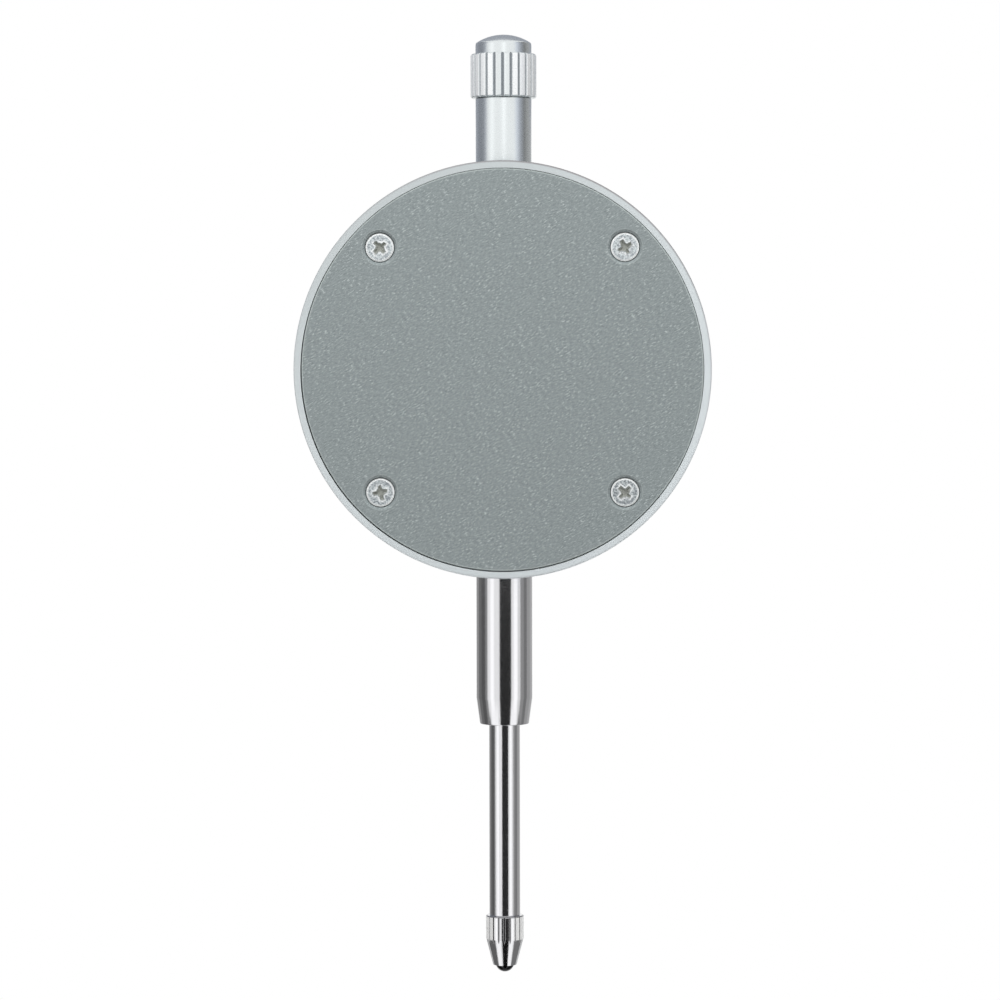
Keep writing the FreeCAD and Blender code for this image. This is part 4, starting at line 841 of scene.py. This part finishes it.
def screw(name, x, z, degrees):
    """A head whose top is its flat face less the recess, which deepens evenly inwards from the cross's
    outline to its full depth; then the edge, the seat and the shank. Three marks on its points tell how
    far they belong to the rim's painted highlight, to the burrs' painted highlight and to the recess's
    painted shade."""
    flat_radius = head_radius - head_edge
    radius = np.concatenate([np.linspace(0, fine_radius, 68),
                             np.linspace(fine_radius + 0.05 * mm, flat_radius, 8)])
    angle = np.linspace(0, 2 * np.pi, 200, endpoint=False)[None]
    flat_x, flat_z = radius[:, None] * np.cos(angle), radius[:, None] * np.sin(angle)
    inside = inside_cross(flat_x, flat_z) + ragged(flat_x, flat_z, degrees)
    hollow = np.minimum(np.clip(inside, 0, None) * recess_slope, recess_depth)
    burr = burr_height * np.exp(-((inside / burr_width) ** 2)) * (inside < 0)
    top = head_top + burr_height + hollow - burr
    seat = head_top + head_height
    side = soften([
        (head_radius, head_top), (head_radius, seat), (shank_radius, seat),
        (shank_radius, shank_end - shank_radius / 2), (shank_radius / 2, shank_end), (0, shank_end)],
        np.array([head_edge, 0.06 * mm, 0.05 * mm, 0.05 * mm, 0.05 * mm, 0]))
    side[:6, 1] += burr_height * np.linspace(1, 0, 6)
    spots = np.concatenate([
        np.stack([flat_x, top, flat_z], -1),
        np.stack([side[:, :1] * np.cos(angle), side[:, 1:] + 0 * angle, side[:, :1] * np.sin(angle)], -1)])
    piece = skin(name, spots, sharp=50)
    points = places(piece)
    reach = np.hypot(points[:, 0], points[:, 2])
    depth = inside_cross(points[:, 0], points[:, 2]) + ragged(points[:, 0], points[:, 2], degrees)
    front = points[:, 1] < head_top + recess_depth + 0.1 * mm
    rim = np.clip((reach - rim_start) / rim_blur, 0, 1)
    burr_highlight = np.exp(-(((depth + halo_width) / halo_width) ** 2))
    marks = (("rim", rim), ("burr", 0.9 * burr_highlight), ("recess", np.clip(depth / recess_blur, 0, 1)))
    for title, values in marks:
        mark(piece, title, values * front)
    c, s = np.cos(np.radians(degrees)), np.sin(np.radians(degrees))
    placed = np.stack([points[:, 0] * c - points[:, 2] * s + x, points[:, 1],
                       points[:, 0] * s + points[:, 2] * c + z], -1)
    piece.data.vertices.foreach_set("co", placed.ravel())
    piece.data.update()
    return piece


# The angle that each screw was stopped at, for the side and the height at which it sits
screw_angles = {(-1, 1): 42, (-1, -1): 12, (1, 1): 28, (1, -1): 47}
screw_steel = finish("struck_zinc_plating", seen(190, 191, 198), 0.5, Metallic=1.0)
struck = grain(screw_steel, 0.22 * mm, detail=3)
base = tint(screw_steel, struck, seen(154, 161, 167), seen(224, 231, 232), (0.38, 0.60))
# Painted highlights on the head's rim and burrs, and painted shade in the recess
rim, burr, sunk = (marked(screw_steel, title) for title in ("rim", "burr", "recess"))
patchy = reckon(screw_steel, "MULTIPLY", burr,
                span(screw_steel, grain(screw_steel, 0.5 * mm).outputs["Fac"], 0.40, 0.54, 0.2, 1.0))
painted_highlight = reckon(screw_steel, "MAXIMUM", patchy, rim)
bright = blend(screw_steel, painted_highlight, base, seen(252, 254, 254))
recess_shaded = blend(screw_steel, sunk, bright, seen(158, 161, 155))
feed(screw_steel, recess_shaded, "Base Color")
cleared = reckon(screw_steel, "MAXIMUM", painted_highlight, sunk)
feed(screw_steel, span(screw_steel, cleared, 0.0, 1.0, 1.0, 0.15), "Metallic")
wear(screw_steel, struck, 0.42, 0.6)
relief(screw_steel, struck, 0.02 * mm)
heads = [screw(f"screw_{number}", x * screw_spread, case_centre[1] + z * screw_spread, degrees)
         for number, ((x, z), degrees) in enumerate(screw_angles.items())]
dress(merge("cover_screws_struck", heads), screw_steel, "case", "screw_steel", "back_cover_screws")

# Face plate, window and buttons
# The dark textured plate is glued in the front, round the clear window, the three moulded buttons
# and the battery cover. Small legends over the buttons say what they do.

plate = finish("textured_plate", seen(52, 54, 57), 0.5)
plate_cloud = grain(plate, 0.1 * mm)
tint(plate, plate_cloud, seen(47, 49, 52), seen(58, 60, 63))
relief(plate, plate_cloud, 0.01 * mm)
clad(plate, "face_plate")

clear = finish("clear_acrylic", seen(235, 240, 242), 0.04, IOR=1.49, Alpha=0.05)
clad(clear, "display_window")

button_names = ("units_button", "power_button", "zero_button")
button_paint = finish("grey_moulding", seen(150, 154, 156), 0.42)
button_cloud = grain(button_paint, 0.1 * mm)
tint(button_paint, button_cloud, seen(144, 148, 150), seen(156, 160, 162))
relief(button_paint, button_cloud, 0.006 * mm)
legend_ink = finish("legend_ink", seen(214, 216, 216), 0.5)
tint(legend_ink, grain(legend_ink, 1 * mm), seen(208, 210, 210), seen(218, 220, 220))
crown_height = 0.12 * mm
button_radius = 3.0 * mm
button_edge = 0.45 * mm
flange_radius = 3.5 * mm
flange_thick = 0.6 * mm
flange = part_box("display_window")[0].y - 1.42 * mm
tail_radius = 1.4 * mm
button_rounds = np.array([0, button_edge, 0.05 * mm, 0.05 * mm, 0.05 * mm, 0.05 * mm, 0.1 * mm, 0])
legend_height = 1.9 * mm
legend_rise = 4.1 * mm
legend_thick = 0.02 * mm
plate_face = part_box("face_plate")[1].y
legends = []
for name, words in zip(button_names, ("mm/in", "ON/OFF", "ZERO")):
    low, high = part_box(name)
    middle_x, middle_z = (low.x + high.x) / 2, (low.z + high.z) / 2
    across = np.linspace(0, button_radius - button_edge, 20)
    crown = np.stack([across, high.y - crown_height * (across / button_radius) ** 2], 1)
    # The crown's end is only a corner to lead on from, so its six points are left out
    below = soften([
        tuple(crown[-1]), (button_radius, high.y - crown_height), (button_radius, flange),
        (flange_radius, flange), (flange_radius, flange - flange_thick),
        (tail_radius, flange - flange_thick), (tail_radius, low.y), (0, low.y)], button_rounds)[6:]
    button = turned(f"{name}_moulded", np.concatenate([crown, below]), 160, facing=(middle_x, middle_z))
    dress(button, button_paint, name, "button_grey", name)
    legends.append(lettering(words, legend_height, middle_x, middle_z + legend_rise, plate_face,
                             legend_thick))
dress(merge("button_legends", legends), legend_ink, "case", "plate_black")

# Battery and covers
# The coin cell lies in its well under a cover that screws in with a coin on a rubber ring. The port
# cover is pressed into the side wall. Both covers are dark moulded plastic.

nickel = finish("nickel_cell", seen(214, 214, 212), 0.24, Metallic=1.0)
wear(nickel, grain(nickel, 0.1 * mm, (8, 1, 1)), 0.18, 0.3)
clad(nickel, "battery_cell")

cover_plastic = finish("dark_moulding", seen(66, 68, 70), 0.48)
cover_cloud = grain(cover_plastic, 0.1 * mm)
tint(cover_plastic, cover_cloud, seen(60, 62, 64), seen(72, 74, 76))
relief(cover_plastic, cover_cloud, 0.008 * mm)
clad(cover_plastic, "battery_cover", "port_cover")
clad(rubber, "battery_cover_seal")

# Studio
# A pale floor under the tip, soft lamps, and the white and dark surfaces that the metal reflects: a
# low dark sheet in front, where the polished stem shows its black stripe, and grey walls at the sides.

cad_middle = (cad_low + cad_high) / 2
floor_height = cad_low[2] - 0.06
floor_radius = 0.26
scene = bpy.context.scene


def sheet(name, corners, colour, strength):
    """A flat sheet that only mirrors see, as a plain glow."""
    mesh = bpy.data.meshes.new(name)
    mesh.from_pydata(corners, [], [tuple(range(len(corners)))])
    flat = bpy.data.objects.new(name, mesh)
    scene.collection.objects.link(flat)
    material = bpy.data.materials.new(name)
    material.use_nodes = True
    material.node_tree.nodes.remove(material.node_tree.nodes["Principled BSDF"])
    glow = add(material, "ShaderNodeEmission", Color=(*colour, 1), Strength=strength)
    join(material, glow, "Emission", material.node_tree.nodes["Material Output"], "Surface")
    mesh.materials.append(material)
    flat.visible_camera = False
    flat.visible_diffuse = False
    flat.visible_shadow = False
    flat.visible_transmission = False


# Each sheet: from and to in degrees round Z from the front, the distance and height of its lower and
# its upper edge, and its grey. The first two make the black stripe, then come the left and the right
# walls, the bright card before the sleeve, the wall behind the dome and the sectors under the cone.
# The grey walls that stand above the rest are a little cooler.
sheets = [
    (-18, 29, 0.12, -0.08, 0.12, 0.022, 0.028), (-18, 29, 0.02, -0.105, 0.12, -0.08, 0.006),
    (-58, -42, 0.45, -0.35, 0.45, 0.03, 1.30), (-84, -72, 0.45, -0.35, 0.45, 0.03, 0.27),
    (-106, -84, 0.45, -0.35, 0.45, 0.03, 0.11), (-128, -106, 0.45, -0.35, 0.45, 0.03, 0.17),
    (-158, -128, 0.45, -0.35, 0.45, 0.03, 0.34), (-54, -40, 0.45, 0.03, 0.45, 0.30, 1.25),
    (-84, -72, 0.45, 0.03, 0.45, 0.45, 0.45), (-128, -84, 0.45, 0.03, 0.45, 0.45, 0.28),
    (-158, -128, 0.45, 0.03, 0.45, 0.45, 0.38),
    (40, 57, 0.45, -0.35, 0.45, 0.03, 1.30), (57, 70, 0.45, -0.35, 0.45, 0.03, 0.85),
    (70, 88, 0.45, -0.35, 0.45, 0.03, 0.32), (52, 64, 0.45, 0.03, 0.45, 0.45, 0.78),
    (64, 74, 0.45, 0.03, 0.45, 0.45, 0.50), (74, 88, 0.45, 0.03, 0.45, 0.45, 0.34),
    (88, 106, 0.45, -0.35, 0.45, 0.45, 0.21), (106, 130, 0.45, -0.35, 0.45, 0.45, 0.38),
    (130, 158, 0.45, -0.35, 0.45, 0.45, 0.48),
    (-2, 8, 0.45, 0.055, 0.45, 0.30, 1.45), (135, 225, 0.45, 0.10, 0.45, 0.65, 0.38),
    (-60, -28, 0.02, -0.1055, 0.25, -0.1055, 1.20), (-128, -66, 0.02, -0.1055, 0.25, -0.1055, 0.14),
    (30, 60, 0.02, -0.1055, 0.25, -0.1055, 1.20), (66, 130, 0.02, -0.1055, 0.25, -0.1055, 0.20),
]
for number, (start, stop, near, foot, far, top, grey) in enumerate(sheets):
    sweep = np.radians([start, stop])
    corners = [(distance * np.sin(a), -distance * np.cos(a), height)
               for distance, height, ends in ((near, foot, sweep), (far, top, sweep[::-1])) for a in ends]
    cool = 1.12 if foot > 0 and grey < 1 else 1.0
    sheet(f"sheet_{number}", corners, (1 / cool**0.4, 1, cool), grey)

# The background is white to the camera, to metal and to glass, and lights the rest more weakly
world = bpy.data.worlds.new("white_tent")
scene.world = world
world.use_nodes = True
room = world.node_tree.nodes["Background"]
room.inputs["Color"].default_value = (1, 1, 1, 1)
room.inputs["Strength"].default_value = 0.39
shown = add(world, "ShaderNodeBackground", Color=(1, 1, 1, 1), Strength=1.0)
ray = add(world, "ShaderNodeLightPath")
white_share = ray.outputs["Is Camera Ray"]
for kind in ("Is Glossy Ray", "Is Transmission Ray"):
    white_share = reckon(world, "MAXIMUM", white_share, ray.outputs[kind])
mix = add(world, "ShaderNodeMixShader")
world.node_tree.links.new(white_share, mix.inputs[0])
join(world, room, 0, mix, 1)
join(world, shown, 0, mix, 2)
join(world, mix, 0, world.node_tree.nodes["World Output"], "Surface")

floor_steps = 96
floor_turn = np.linspace(0, 2 * np.pi, floor_steps, endpoint=False)
floor_edge = np.stack([floor_radius * np.cos(floor_turn), floor_radius * np.sin(floor_turn),
                       np.full(floor_steps, floor_height)], 1)
floor_mesh = bpy.data.meshes.new("floor")
floor_mesh.from_pydata(floor_edge.tolist(), [], [tuple(range(floor_steps))])
floor = bpy.data.objects.new("floor", floor_mesh)
scene.collection.objects.link(floor)
pale = finish("pale_floor", (0.86, 0.86, 0.86), 0.9)
floor_mesh.materials.append(pale)
floor_place = add(pale, "ShaderNodeTexCoord")
from_middle = add(pale, "ShaderNodeVectorMath", operation="LENGTH")
fade = add(pale, "ShaderNodeMapRange", From_Min=0.55 * floor_radius, From_Max=floor_radius,
           To_Min=1.0, To_Max=0.0, interpolation_type="SMOOTHSTEP")
join(pale, floor_place, "Object", from_middle, 0)
pale.node_tree.links.new(from_middle.outputs["Value"], fade.inputs["Value"])
feed(pale, fade.outputs["Result"], "Alpha")


def lamp(name, place, aim, size, power):
    """A square soft lamp that faces a point, lights the object and isn't seen in its metal."""
    light = bpy.data.lights.new(name, "AREA")
    light.size = size
    light.energy = power
    source = bpy.data.objects.new(name, light)
    source.location = place
    source.rotation_euler = (aim - Vector(place)).to_track_quat("-Z", "Y").to_euler()
    source.visible_glossy = False
    scene.collection.objects.link(source)


target = Vector(cad_middle)
lamp("key", (-0.06, -0.20, 0.36), target, 0.16, 1.08)
lamp("fill", (0.55, -0.35, 0.20), target, 0.40, 0.8)
lamp("rear", (0.10, 0.60, 0.40), target, 0.40, 3.0)

# Camera
# It stands where the photograph was taken from: half a metre off, level with the middle of the case, a
# little to the right of square, and tipped down so that the whole length is in the frame.

camera_data = bpy.data.cameras.new("camera")
camera_data.sensor_width = 36
camera_data.lens = 128.08
camera_data.clip_start = 0.01
camera_data.clip_end = 10
camera = bpy.data.objects.new("camera", camera_data)
scene.collection.objects.link(camera)
scene.camera = camera
camera.location = (0.01375, -0.505, 0.040)
yaw, tip, roll = np.radians([1.627, 2.352, -0.099])
looks = Vector((-np.sin(yaw) * np.cos(tip), np.cos(yaw) * np.cos(tip), -np.sin(tip)))
camera_turn = looks.to_track_quat("-Z", "Y").to_matrix() @ Matrix.Rotation(roll, 3, "Z")
camera.rotation_euler = camera_turn.to_euler()
scene.view_settings.view_transform = "Standard"
